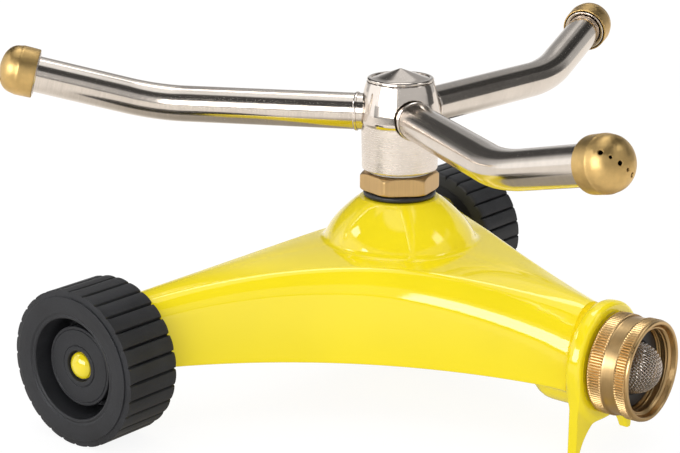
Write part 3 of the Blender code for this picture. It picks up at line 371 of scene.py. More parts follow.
def field_mesh(name, field, low, high, cell, bend, shortest, rounds, place=None):
    """Closed mesh of a field's zero surface, with the field's own normals."""
    points, quads = cell_surface(field, low, high, cell)
    points = pull_to_surface(field, points, cell)
    for _ in range(2):
        total = np.zeros_like(points)
        count = np.zeros(len(points))
        for i in range(4):
            np.add.at(total, quads[:, i], points[quads[:, (i + 1) % 4]] + points[quads[:, i - 1]])
            np.add.at(count, quads[:, i], 2)
        shift = total / count[:, None] - points
        normals = unit_normals(field, points)
        shift -= normals * (shift * normals).sum(1)[:, None]
        points = pull_to_surface(field, points + 0.5 * shift, cell, 2)
    diagonal = np.linalg.norm(points[quads[:, 0]] - points[quads[:, 2]], axis=1)
    other = np.linalg.norm(points[quads[:, 1]] - points[quads[:, 3]], axis=1)
    quads[diagonal > other] = np.roll(quads[diagonal > other], -1, axis=1)
    triangles = np.concatenate([quads[:, [0, 1, 2]], quads[:, [0, 2, 3]]])
    points, triangles = refine(field, points, triangles, bend, shortest, rounds)
    normals = unit_normals(field, points)
    if place is not None:
        turn = np.array(place.to_3x3())
        points = points @ turn.T + np.array(place.translation)
        normals = normals @ turn.T
    mesh = bpy.data.meshes.new(name)
    mesh.vertices.add(len(points))
    mesh.vertices.foreach_set("co", (points * MM + np.array(START)).astype(np.float32).ravel())
    mesh.loops.add(triangles.size)
    mesh.loops.foreach_set("vertex_index", triangles.astype(np.int32).ravel())
    mesh.polygons.add(len(triangles))
    mesh.polygons.foreach_set("loop_start", np.arange(len(triangles), dtype=np.int32) * 3)
    mesh.update(calc_edges=True)
    mesh.shade_smooth()
    mesh.normals_split_custom_set_from_vertices(normals.tolist())
    return mesh


# Meshes and pieces

def finish_bmesh(name, bm, sharp):
    """Turn a bmesh in millimetres into a mesh in its place, facing outwards."""
    bmesh.ops.recalc_face_normals(bm, faces=bm.faces)
    for face in bm.faces:
        face.smooth = True
    limit = radians(sharp)
    for edge in bm.edges:
        edge.smooth = len(edge.link_faces) == 2 and edge.calc_face_angle(0) < limit
    for vert in bm.verts:
        vert.co = vert.co * MM + START
    mesh = bpy.data.meshes.new(name)
    bm.to_mesh(mesh)
    bm.free()
    return mesh


def lathe(name, outline, steps, place, solid=False, sharp=35):
    """Closed mesh made by turning an outline of (radius, height) about a frame's Z axis.

    A solid's outline starts and ends on the axis, a ring's is closed.
    """
    bm = bmesh.new()
    rows = []
    turns = [2 * pi * i / steps for i in range(steps)]
    for radius, height in outline:
        if solid and abs(radius) < 1e-6:
            rows.append([bm.verts.new(place @ Vector((0, 0, height)))] * steps)
        else:
            rows.append([bm.verts.new(place @ Vector((radius * cos(turn), radius * sin(turn), height)))
                         for turn in turns])
    for a, b in zip(rows, rows[1:] if solid else rows[1:] + rows[:1]):
        for i in range(steps):
            j = (i + 1) % steps
            corners = list(dict.fromkeys((a[i], b[i], b[j], a[j])))
            if len(corners) > 2:
                bm.faces.new(corners)
    return finish_bmesh(name, bm, sharp)


def frame_along(direction, place=(0, 0, 0)):
    """A frame at a place whose Z axis points in a direction."""
    turn = Vector(direction).to_track_quat("Z", "Y").to_matrix().to_4x4()
    return Matrix.Translation(Vector(place)) @ turn


def flat_direction(degrees):
    return Vector((cos(radians(degrees)), sin(radians(degrees)), 0))


def new_object(name, mesh, material):
    made = bpy.data.objects.new(name, mesh)
    bpy.context.scene.collection.objects.link(made)
    mesh.materials.clear()
    mesh.materials.append(material)
    return made


def declare(made, body, slot, *nodes):
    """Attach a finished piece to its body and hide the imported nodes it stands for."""
    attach(made, body)
    if nodes:
        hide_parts(*nodes)


def piece(mesh, skin, body, slot, *nodes):
    declare(new_object(mesh.name, mesh, finish(skin)), body, slot, *nodes)


def grow(made, tree, values):
    """Put a geometry tree on an object and set its named inputs."""
    modifier = made.modifiers.new(tree.name, "NODES")
    modifier.node_group = tree
    for item in tree.interface.items_tree:
        if item.item_type == "SOCKET" and item.in_out == "INPUT" and item.name in values:
            value = values[item.name]
            modifier[item.identifier] = tuple(value) if isinstance(value, Vector) else value


def grown(mesh, skin, sharp, tree, *jobs):
    """Object whose mesh a geometry tree makes, once for each job's values, with no modifier left."""
    made = new_object(mesh.name, mesh, finish(skin))
    for values in jobs:
        grow(made, tree, {**values, "Material": finish(skin)})
    bpy.context.view_layer.update()
    depsgraph = bpy.context.evaluated_depsgraph_get()
    made.data = bpy.data.meshes.new_from_object(made.evaluated_get(depsgraph), depsgraph=depsgraph)
    made.modifiers.clear()
    name = mesh.name
    bpy.data.meshes.remove(mesh)
    made.data.name = name
    made.data.shade_smooth()
    made.data.set_sharp_from_angle(angle=radians(sharp))
    return made


# Geometry trees

def start_tree(name, vectors, numbers):
    """A geometry tree with a Geometry input and output, the named inputs and a Material."""
    tree = bpy.data.node_groups.new(name, "GeometryNodeTree")
    new = tree.interface.new_socket
    new("Geometry", in_out="INPUT", socket_type="NodeSocketGeometry")
    for label in vectors:
        new(label, in_out="INPUT", socket_type="NodeSocketVector")
    for label, value in numbers.items():
        new(label, in_out="INPUT", socket_type="NodeSocketFloat").default_value = value
    new("Material", in_out="INPUT", socket_type="NodeSocketMaterial")
    new("Geometry", in_out="OUTPUT", socket_type="NodeSocketGeometry")
    sockets = tree.nodes.new("NodeGroupInput").outputs
    return tree, {socket.name: Link(socket) for socket in sockets if socket.name}


def end_tree(geometry, material):
    """Close a tree with Realize Instances and Set Material."""
    tree = geometry.tree
    real = add(tree, "GeometryNodeRealizeInstances", {"Geometry": geometry})
    add(tree, "NodeGroupOutput", {
        0: add(tree, "GeometryNodeSetMaterial", {"Geometry": real, "Material": material})})
    return tree


def ribs_tree():
    """Grooves cut at equal steps round an axis, fading out along it."""
    found = bpy.data.node_groups.get("ribs_round_an_axis")
    if found:
        return found
    tree, given = start_tree("ribs_round_an_axis", ("Centre", "Axis", "Zero line"), {
        "Count": 28.0, "Depth": 0.001, "Groove share": 0.2, "Crown": 0.0, "Least radius": 0.01,
        "Start": 0, "End": 0.01, "Fade in": 0.001, "Fade out": 0.001})
    axis, up, start, end = (given[name] for name in ("Axis", "Zero line", "Start", "End"))
    here = vector_calc("SUBTRACT", add(tree, "GeometryNodeInputPosition"), given["Centre"])
    along = vector_calc("DOT_PRODUCT", here, axis)
    a = vector_calc("DOT_PRODUCT", here, up)
    b = vector_calc("DOT_PRODUCT", here, vector_calc("CROSS_PRODUCT", axis, up))
    turn = calc("ARCTAN2", b, a) * (given["Count"] / (2 * pi))
    place = calc("ABSOLUTE", calc("FRACT", turn + 200) - 0.5)
    groove = fade(0.5 - place, 0, given["Groove share"], 1, 0)
    crown = place * place * (given["Crown"] * 4)
    band = fade(along, start, start + given["Fade in"]) * fade(along, end - given["Fade out"], end, 1, 0)
    radial = vector_calc("SUBTRACT", here, scaled_vector(axis, along))
    far = calc("GREATER_THAN", vector_calc("LENGTH", radial), given["Least radius"])
    size = given["Depth"] * (groove + crown) * (band * far) * -1
    offset = scaled_vector(vector_calc("NORMALIZE", radial), size)
    return end_tree(add(tree, "GeometryNodeSetPosition", {"Geometry": given["Geometry"], "Offset": offset}),
                    given["Material"])


def thread_tree():
    """A screw thread: a ridge that winds round +X inside a bore."""
    tree, given = start_tree("hose_thread", ("Place",), {
        "Turns": 3, "Pitch": 0.0022, "Radius": 0.0135, "Ridge": 0.0006})
    helix = add(tree, "GeometryNodeCurveSpiral", {
        "Resolution": 72, "Rotations": given["Turns"], "Start Radius": given["Radius"],
        "End Radius": given["Radius"], "Height": given["Turns"] * given["Pitch"]})
    section = add(tree, "GeometryNodeCurvePrimitiveCircle", {"Resolution": 7, "Radius": given["Ridge"]})
    ridge = add(tree, "GeometryNodeCurveToMesh", {
        "Curve": helix, "Profile Curve": section, "Fill Caps": True})
    laid = add(tree, "GeometryNodeTransform", {
        "Geometry": ridge, "Translation": given["Place"], "Rotation": (0, pi / 2, 0)})
    return end_tree(laid, given["Material"])


def screen_tree():
    """Two sets of crossing wires, laid over a cone with a round tip that points along +X."""
    tree, given = start_tree("woven_screen", ("Tip",), {
        "Pitch": 0.0008, "Wire": 0.0003, "Reach": 0.012, "Tip radius": 0.005, "Tip angle": 1, "Turn": 0.7})
    reach, pitch, wire = given["Reach"], given["Pitch"], given["Wire"]
    tip, lean, turn = given["Tip radius"], given["Tip angle"], given["Turn"]
    count = calc("ROUND", reach / pitch) * 2 + 1
    row = add(tree, "GeometryNodeMeshLine", {
        "Count": count, "Offset": combined(tree, Y=pitch),
        "Start Location": combined(tree, Y=(count - 1) * -0.5 * pitch)}, mode="OFFSET")
    line = add(tree, "GeometryNodeCurvePrimitiveLine", {
        "Start": combined(tree, X=reach * -1), "End": combined(tree, X=reach)})
    fine = add(tree, "GeometryNodeResampleCurve", {"Curve": line, "Count": 91})
    laid = add(tree, "GeometryNodeInstanceOnPoints", {"Points": row, "Instance": fine})
    real = add(tree, "GeometryNodeRealizeInstances", {"Geometry": laid})
    x, y, _ = split(add(tree, "GeometryNodeInputPosition"))
    arc = tip * lean
    both = tree.nodes.new("GeometryNodeJoinGeometry")
    # Over and under: the phase turns by half a wave from one crossing to the next
    for a, b, side in ((x, y, -0.5), (y, x, 0.5)):
        lift = calc("COSINE", (x + y) / pitch * pi) * side * wire
        u = a * calc("COSINE", turn) - b * calc("SINE", turn)
        v = a * calc("SINE", turn) + b * calc("COSINE", turn)
        away = calc("SQRT", u * u + v * v)
        bent = calc("MINIMUM", away, arc) / tip
        rest = calc("MAXIMUM", away - arc, 0)
        out = tip + lift
        ring = out * calc("SINE", bent) + rest * calc("COSINE", lean)
        depth = out * calc("COSINE", bent) - tip + rest * calc("SINE", lean) * -1
        share = ring / calc("MAXIMUM", away, 0.00001)
        place = vector_calc("ADD", combined(tree, X=depth, Y=u * share, Z=v * share), given["Tip"])
        spread = add(tree, "GeometryNodeStoreNamedAttribute", {
            "Geometry": real, "Name": "from_tip", "Value": away}, data_type="FLOAT", domain="POINT")
        moved = add(tree, "GeometryNodeSetPosition", {"Geometry": spread, "Position": place})
        read = add(tree, "GeometryNodeInputNamedAttribute", {"Name": "from_tip"}, data_type="FLOAT")
        plug(both, {0: add(tree, "GeometryNodeDeleteGeometry", {
            "Geometry": moved, "Selection": calc("GREATER_THAN", read, reach)}, domain="POINT")})
    section = add(tree, "GeometryNodeCurvePrimitiveCircle", {"Resolution": 5, "Radius": wire * 0.5})
    return end_tree(add(tree, "GeometryNodeCurveToMesh", {
        "Curve": Link(both.outputs[0]), "Profile Curve": section, "Fill Caps": True}), given["Material"])


# Finishes: each function gives the shader's inputs for a place on the piece and a colour

def noise(place, scale, detail=3, stretch=None):
    """Noise between 0 and 1 on a piece, with features about 1/scale metres wide."""
    if stretch is not None:
        place = add(place.tree, "ShaderNodeMapping", {"Vector": place, "Scale": stretch})
    return add(place.tree, "ShaderNodeTexNoise", {
        "Vector": place, "Scale": scale, "Detail": detail, "Roughness": 0.55})


def tinted(value, colour, dark, light, start=0.3, end=0.7):
    """A colour that a value makes darker or lighter."""
    ends = [tuple(min(1, c * factor) for c in colour) + (1,) for factor in (dark, light)]
    return mixed_colour(fade(value, start, end), *ends)


def raised(height, distance):
    """Bump of a given height in metres."""
    return add(height.tree, "ShaderNodeBump", {"Height": height, "Distance": distance})


def enamel(place, colour):
    """Thick glossy enamel, a little uneven like all sprayed paint."""
    return {
        "Base Color": tinted(noise(place, 22, 2), colour, 0.965, 1.03),
        "Roughness": fade(noise(place, 60), 0.3, 0.7, 0.05, 0.09),
        "IOR": 1.5, "Coat Weight": 0.5, "Coat Roughness": 0.04,
        "Normal": raised(noise(place, 320, 1) + noise(place, 55, 0) * 1.5, 0.00002)}


def cast_brass(place, colour):
    """Polished brass casting with mottled patches and tiny pits."""
    return {
        "Base Color": tinted(noise(place, 210, 4), colour, 0.88, 1.08), "Metallic": 1,
        "Roughness": fade(noise(place, 330, 3), 0.35, 0.68, 0.36, 0.48),
        "Normal": raised(noise(place, 900, 2) + noise(place, 160, 1), 0.00004)}


def machined(place, colour, stretch, low, high, lines, bump):
    """Machined metal with fine tool lines; stretch is small along the lines."""
    tool = noise(place, lines, 2, stretch)
    stain = noise(place, 70, 2)
    return {
        "Base Color": tinted(tool * 0.35 + stain * 0.65, colour, 0.9, 1.07, 0.34, 0.66), "Metallic": 1,
        "Roughness": fade(stain, 0.3, 0.7, low, high), "Normal": raised(tool, bump)}


def plated(place, colour):
    """Plated metal, satin below the edge of the hub's taper and polished above it."""
    polished = fade(split(place)[2], 0.0960, 0.0964)
    grain = noise(place, 2600, 2, (0.05, 0.05, 1))
    satin = fade(grain, 0.3, 0.7, 0.24, 0.32)
    smear = fade(noise(place, 60), 0.35, 0.7, 0.08, 0.14)
    return {
        "Base Color": tinted(noise(place, 90, 3), colour, 0.93, 1.04), "Metallic": 1,
        "Roughness": mixed(polished, satin, smear), "Normal": raised(grain * (1 - polished), 0.0000025)}


def drawn_tube(place, colour):
    """Stainless tube, polished round its girth, with fainter lengthwise streaks."""
    uv = add(place.tree, "ShaderNodeUVMap", uv_map="tube")
    rings = noise(uv, 1, 3, (3600, 3, 1))
    both = rings * 0.5 + noise(place, 70, 3) * 0.5
    return {
        "Base Color": tinted(both, colour, 0.9, 1.05, 0.35, 0.65), "Metallic": 1,
        "Roughness": fade(noise(uv, 1, 2, (10, 60, 1)), 0.3, 0.7, 0.12, 0.2),
        "Normal": raised(rings + noise(uv, 1, 2, (9, 34, 1)) * 3, 0.000006)}


def moulded(place, colour):
    """Moulded plastic with a fine matt grain and dusty patches."""
    cloud = noise(place, 80, 4)
    return {
        "Base Color": tinted(cloud, colour, 0.86, 1.16), "Specular IOR Level": 0.25,
        "Roughness": fade(cloud, 0.3, 0.7, 0.44, 0.56),
        "Normal": raised(noise(place, 1600, 3) + noise(place, 260, 2) * 1.2, 0.00005)}


def clouded(place, colour, metal, scale, dark, light, low, high, grain, bump):
    """Plain skin with soft patches and a fine grain."""
    cloud = noise(place, scale, 3)
    return {
        "Base Color": tinted(cloud, colour, dark, light), "Metallic": metal,
        "Roughness": fade(cloud, 0.3, 0.7, low, high), "Normal": raised(noise(place, grain, 2), bump)}


# Name: its function, its colour and the function's other settings
FINISHES = {
    "yellow_enamel": (enamel, "paint"),
    "mottled_brass": (cast_brass, "brass"),
    "turned_brass": (machined, "turned_brass", (1, 0.02, 0.02), 0.27, 0.36, 4200, 0.000012),
    "sawn_brass": (machined, "turned_brass", (1, 1, 0.03), 0.32, 0.42, 2400, 0.000015),
    "plated_hub": (plated, "nickel"),
    "bright_nickel": (clouded, "nickel", 1, 400, 0.85, 1.05, 0.1, 0.22, 1500, 0.000008),
    "polished_tube": (drawn_tube, "steel"),
    "drawn_wire": (machined, "steel", (1, 1, 1), 0.2, 0.3, 900, 0.000004),
    "moulded_plastic": (moulded, "plastic"),
    "black_rubber_skin": (clouded, "rubber", 0, 220, 0.8, 1.5, 0.34, 0.5, 1800, 0.00003),
    "acetal_skin": (clouded, "acetal", 0, 180, 0.94, 1.03, 0.35, 0.5, 1400, 0.00002),
}


def start_material(name):
    """A material, its shader and the place on the piece."""
    made = bpy.data.materials.new(name)
    made.use_nodes = True
    return made, made.node_tree.nodes["Principled BSDF"], add(
        made.node_tree, "ShaderNodeTexCoord", output="Object")


def finish(name):
    """The named finish, made on its first use."""
    found = bpy.data.materials.get(name)
    if found:
        return found
    maker, colour, *settings = FINISHES[name]
    made, shader, place = start_material(name)
    plug(shader, maker(place, getattr(bpy.context.scene.sprinkler_colours, colour), *settings))
    return made


# The casting's field

ARM_LINE = radians(118.3)           # direction of the wheel arms
ARC_RADIUS = 170.2
SIDE_CENTRE = (210 * cos(radians(60)), 210 * sin(radians(60)))
BACK_CENTRE = (-203.7, 0)
WALL = 3
POST_RADIUS = 13                    # under the boss
PIPE_RADIUS = 9.5                   # from the inlet to the post
WATER_RADIUS = 5.5
SOCKET_RADIUS = 8.3                 # for the spindle and for the tailpiece
AXLE_BOSS_RADIUS = 7.8
AXLE_HOLE = 3.3
SHELL_BOTTOM = 21.5
CREASE_HEIGHT = 54.4
CREASE_ANGLE = radians(36)          # of the side's slope where it meets the top
CROWN = 1.3
SHOULDER_RADIUS = 12.3              # of the side's rounding at the middle
SHOULDER_TO_INLET = 0.085           # its growth along the inlet arm
SHOULDER_TO_WHEELS = -0.05
SHOULDER_LIP = 0.377                # how far the slope reaches inwards, as a share of the radius


def shell_field(points, inset):
    """The three-pointed body, or with an inset the hollow inside it."""
    x, y = points[:, 0], np.abs(points[:, 1])
    height = points[:, 2] + 0.018 * x
    back = np.arctan2(y, x) > ARM_LINE
    cx = np.where(back, BACK_CENTRE[0], SIDE_CENTRE[0])
    cy = np.where(back, BACK_CENTRE[1], SIDE_CENTRE[1])
    cross = cx * y - cy * x
    front = (cross < 0) & ~back
    ax = np.where(front, 1, cos(ARM_LINE))
    ay = np.where(front, 0, sin(ARM_LINE))
    below = ax * (y - cy) - ay * (x - cx)
    below = np.where(np.abs(below) < 1e-6, 1e-6, below)
    along = np.clip(cross / below, 0, 130)
    inwards = np.hypot(x - cx, y - cy) - ARC_RADIUS - inset
    span = np.maximum(np.hypot(ax * along - cx, ay * along - cy) - ARC_RADIUS - inset, 1)
    # The shoulder is an arc that starts upright, then a slope that meets the top at an angle
    bend = SHOULDER_RADIUS + np.where(front, SHOULDER_TO_INLET, SHOULDER_TO_WHEELS) * along
    bend = np.minimum(bend, 0.6 * span / SHOULDER_LIP)
    lip = SHOULDER_LIP * bend
    crease = CREASE_HEIGHT - 0.00123 * along ** 2 - 0.27 * (lip - 3.7) - inset
    lean, rise = cos(CREASE_ANGLE), sin(CREASE_ANGLE)
    beside = bend - inwards
    above = height - crease + (bend - (bend - lip) * lean) / rise
    shoulder = np.where(above * lean > beside * rise, beside * lean + above * rise - bend,
                        np.hypot(np.maximum(beside, 0), np.maximum(above, 0)) - bend)
    part = np.clip((inwards - lip) / np.maximum(span - lip, 0.5), 0, 1)
    ridge = CREASE_HEIGHT + CROWN - 0.00123 * along ** 2 - inset
    top = height - crease - (ridge - crease) * np.sin(part * pi / 2)
    body = smooth_common(np.maximum(shoulder, -inwards), top, 1.3)
    if inset == 0:
        body = smooth_common(body, SHELL_BOTTOM - height, 1.1)
    body = smooth_common(body, y - (86 - inset), 2.2)
    return np.maximum(body, x - 78)


def dome_field(points, inset):
    """The raised boss, with soft ridges towards its three corners."""
    x, y = points[:, 0], points[:, 1]
    height = points[:, 2] + inset
    part = np.clip((DOME_TOP - height) / 18, 0, 1)
    table = np.linspace(0, 1, 200)
    radii = 13.8 + 12.7 * np.sin(table * pi / 2) ** 0.9
    slopes = np.gradient(radii, 18 / 199)
    radius = np.interp(part, table, radii) + np.minimum(DOME_TOP - height, 0) * 0.6
    turn = np.degrees(np.arctan2(y, x))
    lobe = np.zeros(len(x))
    for ridge in (-47, 47, 180):
        away = np.abs((turn - ridge + 180) % 360 - 180)
        lobe = np.maximum(lobe, 1 - (np.sqrt(away ** 2 + 9) - 3) / 42)
    radius *= 1 + 0.04 * part * lobe
    lean = np.sqrt(1 + np.interp(part, table, slopes) ** 2)
    return smooth_common((np.hypot(x, y) - radius + inset) / lean, height - DOME_TOP, 1.2)


NECK = rounded([(-5, 61, 0), (16.4, 61, 7), (16.7, 83, 0), (-5, 83, 0)], 6)
NECK_DROP = 0.7                     # of the neck's middle below the inlet's axis
NECK_SLIMNESS = 1.22                # its height over its width
FLANGE = rounded([(-5, 80.9, 0), (20, 80.9, 2.2), (20, 86.4, 2.2), (16.6, 86.4, 0.6), (16.2, 86, 0.4),
                  (-5, 86, 0)], 6)


def casting_field(points):
    """The whole casting: shell, boss, pipe, neck with flange, legs and axle bosses, with its holes."""
    x, y, z = points.T
    side = np.abs(y)
    body = smooth_union(shell_field(points, 0), dome_field(points, 0), 1.8)
    hollow = np.minimum(shell_field(points, WALL), dome_field(points, WALL))
    body = smooth_common(body, -hollow, 0.8)
    about_z = np.hypot(x, y)
    about_x = np.hypot(y, z - INLET_HEIGHT)
    body = smooth_union(body, capped(about_z, z, POST_RADIUS, 17, 69), 2)
    body = smooth_union(body, capped(about_x, x, PIPE_RADIUS, 2, 61), 2)
    neck = outline_distance(np.hypot(y * NECK_SLIMNESS, z - INLET_HEIGHT + NECK_DROP), x, NECK)
    neck = smooth_union(neck, outline_distance(about_x, x, FLANGE), 1.8)
    body = smooth_union(body, neck, 3)
    arch = 16.25 - np.hypot(y, z + 6.25)
    legs = np.maximum(np.abs(x - 83.7) - 1.7, side - 17.6 + 0.012 * z)
    legs = smooth_common(smooth_common(legs, np.maximum(-z, z - 30), 0.5), arch, 0.9)
    body = smooth_union(body, legs, 1.8)
    axle = np.hypot(x - AXLE[0], z - AXLE[1])
    body = smooth_union(body, capped(axle, side, AXLE_BOSS_RADIUS, 67.8, 87.8), 2)
    for hole in ((axle, side, AXLE_HOLE, 71.5, 95), (about_z, z, SOCKET_RADIUS, 56.6, 80),
                 (about_z, z, WATER_RADIUS, INLET_HEIGHT, 60), (about_x, x, SOCKET_RADIUS, 66.1, 95),
                 (about_x, x, WATER_RADIUS, 0.3, 70)):
        body = np.maximum(body, -capped(*hole))
    return body


class SPRINKLER_OT_casting(Operator):
    """Build the painted casting with its boss, neck, flange and legs"""
    bl_idname = "sprinkler.casting"
    bl_label = "Casting"

    def execute(self, context):
        shape = context.scene.sprinkler_shape
        cell = shape.casting_cell / MM * 1
        piece(field_mesh("base_casting_skin", casting_field, (-60, -90, -2), (90, 90, 73),
                         cell, 10.5, 0.45, 3),
              "yellow_enamel", "base", "painted_yellow", "base_casting")
        return {"FINISHED"}


class SPRINKLER_OT_wheels(Operator):
    """Build both wheels with their tread blocks and turned recesses"""
    bl_idname = "sprinkler.wheels"
    bl_label = "Wheels"

    def execute(self, context):
        shape = context.scene.sprinkler_shape
        outer = WHEEL_WIDTH
        disc = outer - 4
        floor = outer - 14
        outline = rounded([
            (3.3, outer - 5.6, 0), (5.15, outer - 5.6, 0.3), (5.25, disc + 0.1, 0.4), (6.75, disc + 0.1, 0.3),
            (6.95, disc - 0.35, 0.15), (7.25, disc - 0.05, 0.2), (12.2, disc - 0.1, 0.15),
            (12.45, disc - 0.4, 0.1), (12.75, disc - 0.1, 0.12), (13.5, disc - 0.1, 0.35), (13.4, floor, 0.5),
            (16.6, floor, 0.5), (17, outer - 0.7, 0.5), (17.7, outer - 0.35, 0.5), (18.3, outer - 0.6, 0.4),
            (18.9, outer - 0.15, 0.5), (21.6, outer, 1), (WHEEL_RADIUS, outer - 0.05, 0.7)], 5)
        outline += [(WHEEL_RADIUS, outer - step)
                    for step in (1, 1.6, 2.3, 3.1, 4, 4.8, 5.6, 7, 9.5, 13, 17)]
        outline += rounded([
            (WHEEL_RADIUS, 2.5, 0), (WHEEL_RADIUS, 0, 1.2), (21, 0, 0.5), (20.6, 6, 0.8),
            (8.4, 6, 0.8), (8, 0, 0.4), (3.3, 0, 0.3)], 4)
        steps = shape.tread_blocks * 22
        for side, sign in SIDES:
            place = frame_along((0, sign, 0), (AXLE[0], sign * WHEEL_INNER_Y, AXLE[1]))
            made = grown(lathe("wheel_%s_tyre" % side, outline, steps, place), "moulded_plastic", 38,
                         ribs_tree(), {
                "Centre": START + place.translation * MM, "Axis": Vector((0, sign, 0)),
                "Zero line": Vector((0, 0, -1)), "Count": float(shape.tread_blocks),
                "Depth": shape.tread_depth, "Groove share": shape.tread_groove, "Crown": 0.3,
                "Least radius": 24.4 * MM, "Start": -0.001, "End": (outer + 1.6) * MM,
                "Fade in": 0.0005, "Fade out": 0.0068})
            # Large faces lead the shading beside rounded edges
            made.modifiers.new("even_shading", "WEIGHTED_NORMAL").keep_sharp = True
            declare(made, "wheel_" + side, "black_plastic", "wheel_" + side)
        return {"FINISHED"}


class SPRINKLER_OT_wheel_caps(Operator):
    """Build the yellow push caps in the wheels' middles"""
    bl_idname = "sprinkler.wheel_caps"
    bl_label = "Wheel caps"

    def execute(self, context):
        face = 107.4
        outline = [(0, 109.7), (1, 109.65), (2.1, 109.42), (3.1, 109), (3.9, 108.4), (4.35, 107.85)]
        outline += rounded([(4.6, face, 0.25), (4.6, face - 0.9, 0.2), (3.3, face - 0.9, 0.1)], 3)
        outline.append((0, face - 0.9))
        for side, sign in SIDES:
            place = frame_along((0, sign, 0), (AXLE[0], 0, AXLE[1]))
            piece(lathe("wheel_cap_%s_dome" % side, outline, 48, place, True),
                  "yellow_enamel", "base", "painted_yellow", "wheel_cap_" + side)
        return {"FINISHED"}


INLET = frame_along((1, 0, 0), (0, 0, INLET_HEIGHT))


class SPRINKLER_OT_coupling(Operator):
    """Build the swivel coupling with its knurled bands, hose thread and washer"""
    bl_idname = "sprinkler.coupling"
    bl_label = "Swivel coupling"

    def execute(self, context):
        shape = context.scene.sprinkler_shape
        back, front = COUPLING_BACK, COUPLING_FRONT
        outline = rounded([
            (15, front - 0.5, 0.2), (15.5, front, 0.25), (16.5, front, 0.45), (16.8, front - 1, 0.2)], 4)
        outline += [(KNURL_RADIUS, front - step)
                    for step in (1.2, 1.4, 1.6, 2.1, 2.6, 3.1, 3.5, 3.8, 4.1, 4.3, 4.5)]
        outline += rounded([(16.7, front - 4.7, 0.12), (16.4, front - 4.9, 0.2), (16.3, front - 5.3, 0.3),
                            (16.3, back + 5.6, 0.3), (16.4, back + 5.2, 0.2), (16.7, back + 5, 0.12)], 4)
        outline += [(KNURL_RADIUS, back + step)
                    for step in (4.8, 4.6, 4.3, 3.9, 3.4, 2.9, 2.4, 1.9, 1.4, 1.1, 0.9, 0.7)]
        outline += rounded([
            (KNURL_RADIUS, back + 0.45, 0.3), (16.3, back, 0.3), (9.5, back, 0.2), (9.5, back + 3, 0.1),
            (13.5, back + 3, 0.1), (13.5, back + 8.6, 0.3), (13.9, back + 9.2, 0.3), (14, front - 2.4, 0.3),
            (14.9, front - 1.6, 0.2)], 3)
        body = lathe("swivel_coupling_body", outline, shape.knurl_count * (6), INLET)
        bands = [{
            "Centre": START + INLET.translation * MM, "Axis": Vector((1, 0, 0)),
            "Zero line": Vector((0, 0, 1)), "Count": float(shape.knurl_count),
            "Depth": shape.knurl_depth, "Groove share": 0.36, "Crown": 0.0, "Least radius": 16.2 * MM,
            "Start": start * MM, "End": end * MM, "Fade in": 0.0003, "Fade out": 0.0003,
        } for start, end in ((back + 0.5, back + 5.05), (front - 4.75, front - 1.05))]
        declare(grown(body, "turned_brass", 50, ribs_tree(), *bands), "coupling", "brass", "swivel_coupling")

        turns, pitch = 2.6, shape.thread_pitch
        ridge = grown(bpy.data.meshes.new("hose_thread"), "turned_brass", 60, thread_tree(), {
            "Turns": turns, "Pitch": pitch, "Radius": 14.2 * MM, "Ridge": 0.5 * MM,
            "Place": START + Vector(((front - 1.5) * MM - turns * pitch, 0, INLET_HEIGHT * MM))})
        declare(ridge, "coupling", "brass")
        ring = rounded([(8.9, 93.9, 0.3), (13.15, 93.9, 0.3), (13.15, 96.2, 0.5), (8.9, 96.1, 0.4)], 4)
        piece(lathe("hose_washer_ring", ring, 72, INLET),
              "black_rubber_skin", "coupling", "black_rubber", "hose_washer")
        return {"FINISHED"}


class SPRINKLER_OT_filter(Operator):
    """Build the filter screen from woven wires and its rim"""
    bl_idname = "sprinkler.filter"
    bl_label = "Filter screen"

    def execute(self, context):
        shape = context.scene.sprinkler_shape
        wire = shape.wire_diameter
        wires = grown(bpy.data.meshes.new("filter_wires"), "drawn_wire", 60, screen_tree(), {
            "Pitch": shape.wire_pitch, "Wire": wire, "Reach": 15.3 * MM, "Tip radius": 8.2 * MM,
            "Tip angle": radians(80), "Turn": radians(40),
            "Tip": START + Vector((104.6 * MM - wire * 1.05, 0, INLET_HEIGHT * MM))})
        declare(wires, "coupling", "steel_mesh", "filter_screen")
        rim = rounded([
            (8.3, 93, 0.1), (9.3, 93, 0.2), (9.3, 93.5, 0.2), (8.7, 93.9, 0.2), (8.2, 93.6, 0.2)], 3)
        piece(lathe("filter_rim", rim, 72, INLET), "drawn_wire", "coupling", "steel_mesh")
        return {"FINISHED"}


def hexagon_field(points):
    """The spindle's hexagon with chamfered corners, its shank below and its stem above."""
    x, y, z = points.T
    turn = np.arctan2(y, x) - radians(-16)
    sector = (turn + pi / 6) % (pi / 3) - pi / 6
    away = np.hypot(x, y)
    flats = [away * np.cos(np.abs(sector) + side * pi / 6) - 12.1 for side in (-1, 1)]
    chamfer = ((away - 13.2) + 1.4 * (z - 78.25)) / math.hypot(1, 1.4)
    under = ((away - 13.5) + 1.4 * (72.8 - z)) / math.hypot(1, 1.4)
    nut = smooth_common(smooth_common(*flats, 0.5), np.maximum(chamfer, under), 0.35)
    nut = smooth_common(nut, np.maximum(72.5 - z, z - 78.7), 0.35)
    stem = capped(away, z, 6, 70, 103.3)
    shank = capped(away, z, 8, 57.5, 73)
    body = np.minimum(np.minimum(nut, stem), shank)
    groove = np.maximum(np.abs(z - 88.6) - 0.8, 5.1 - away)
    body = np.maximum(body, -groove)
    return np.maximum(body, -capped(away, z, 3.8, 50, 101.7))


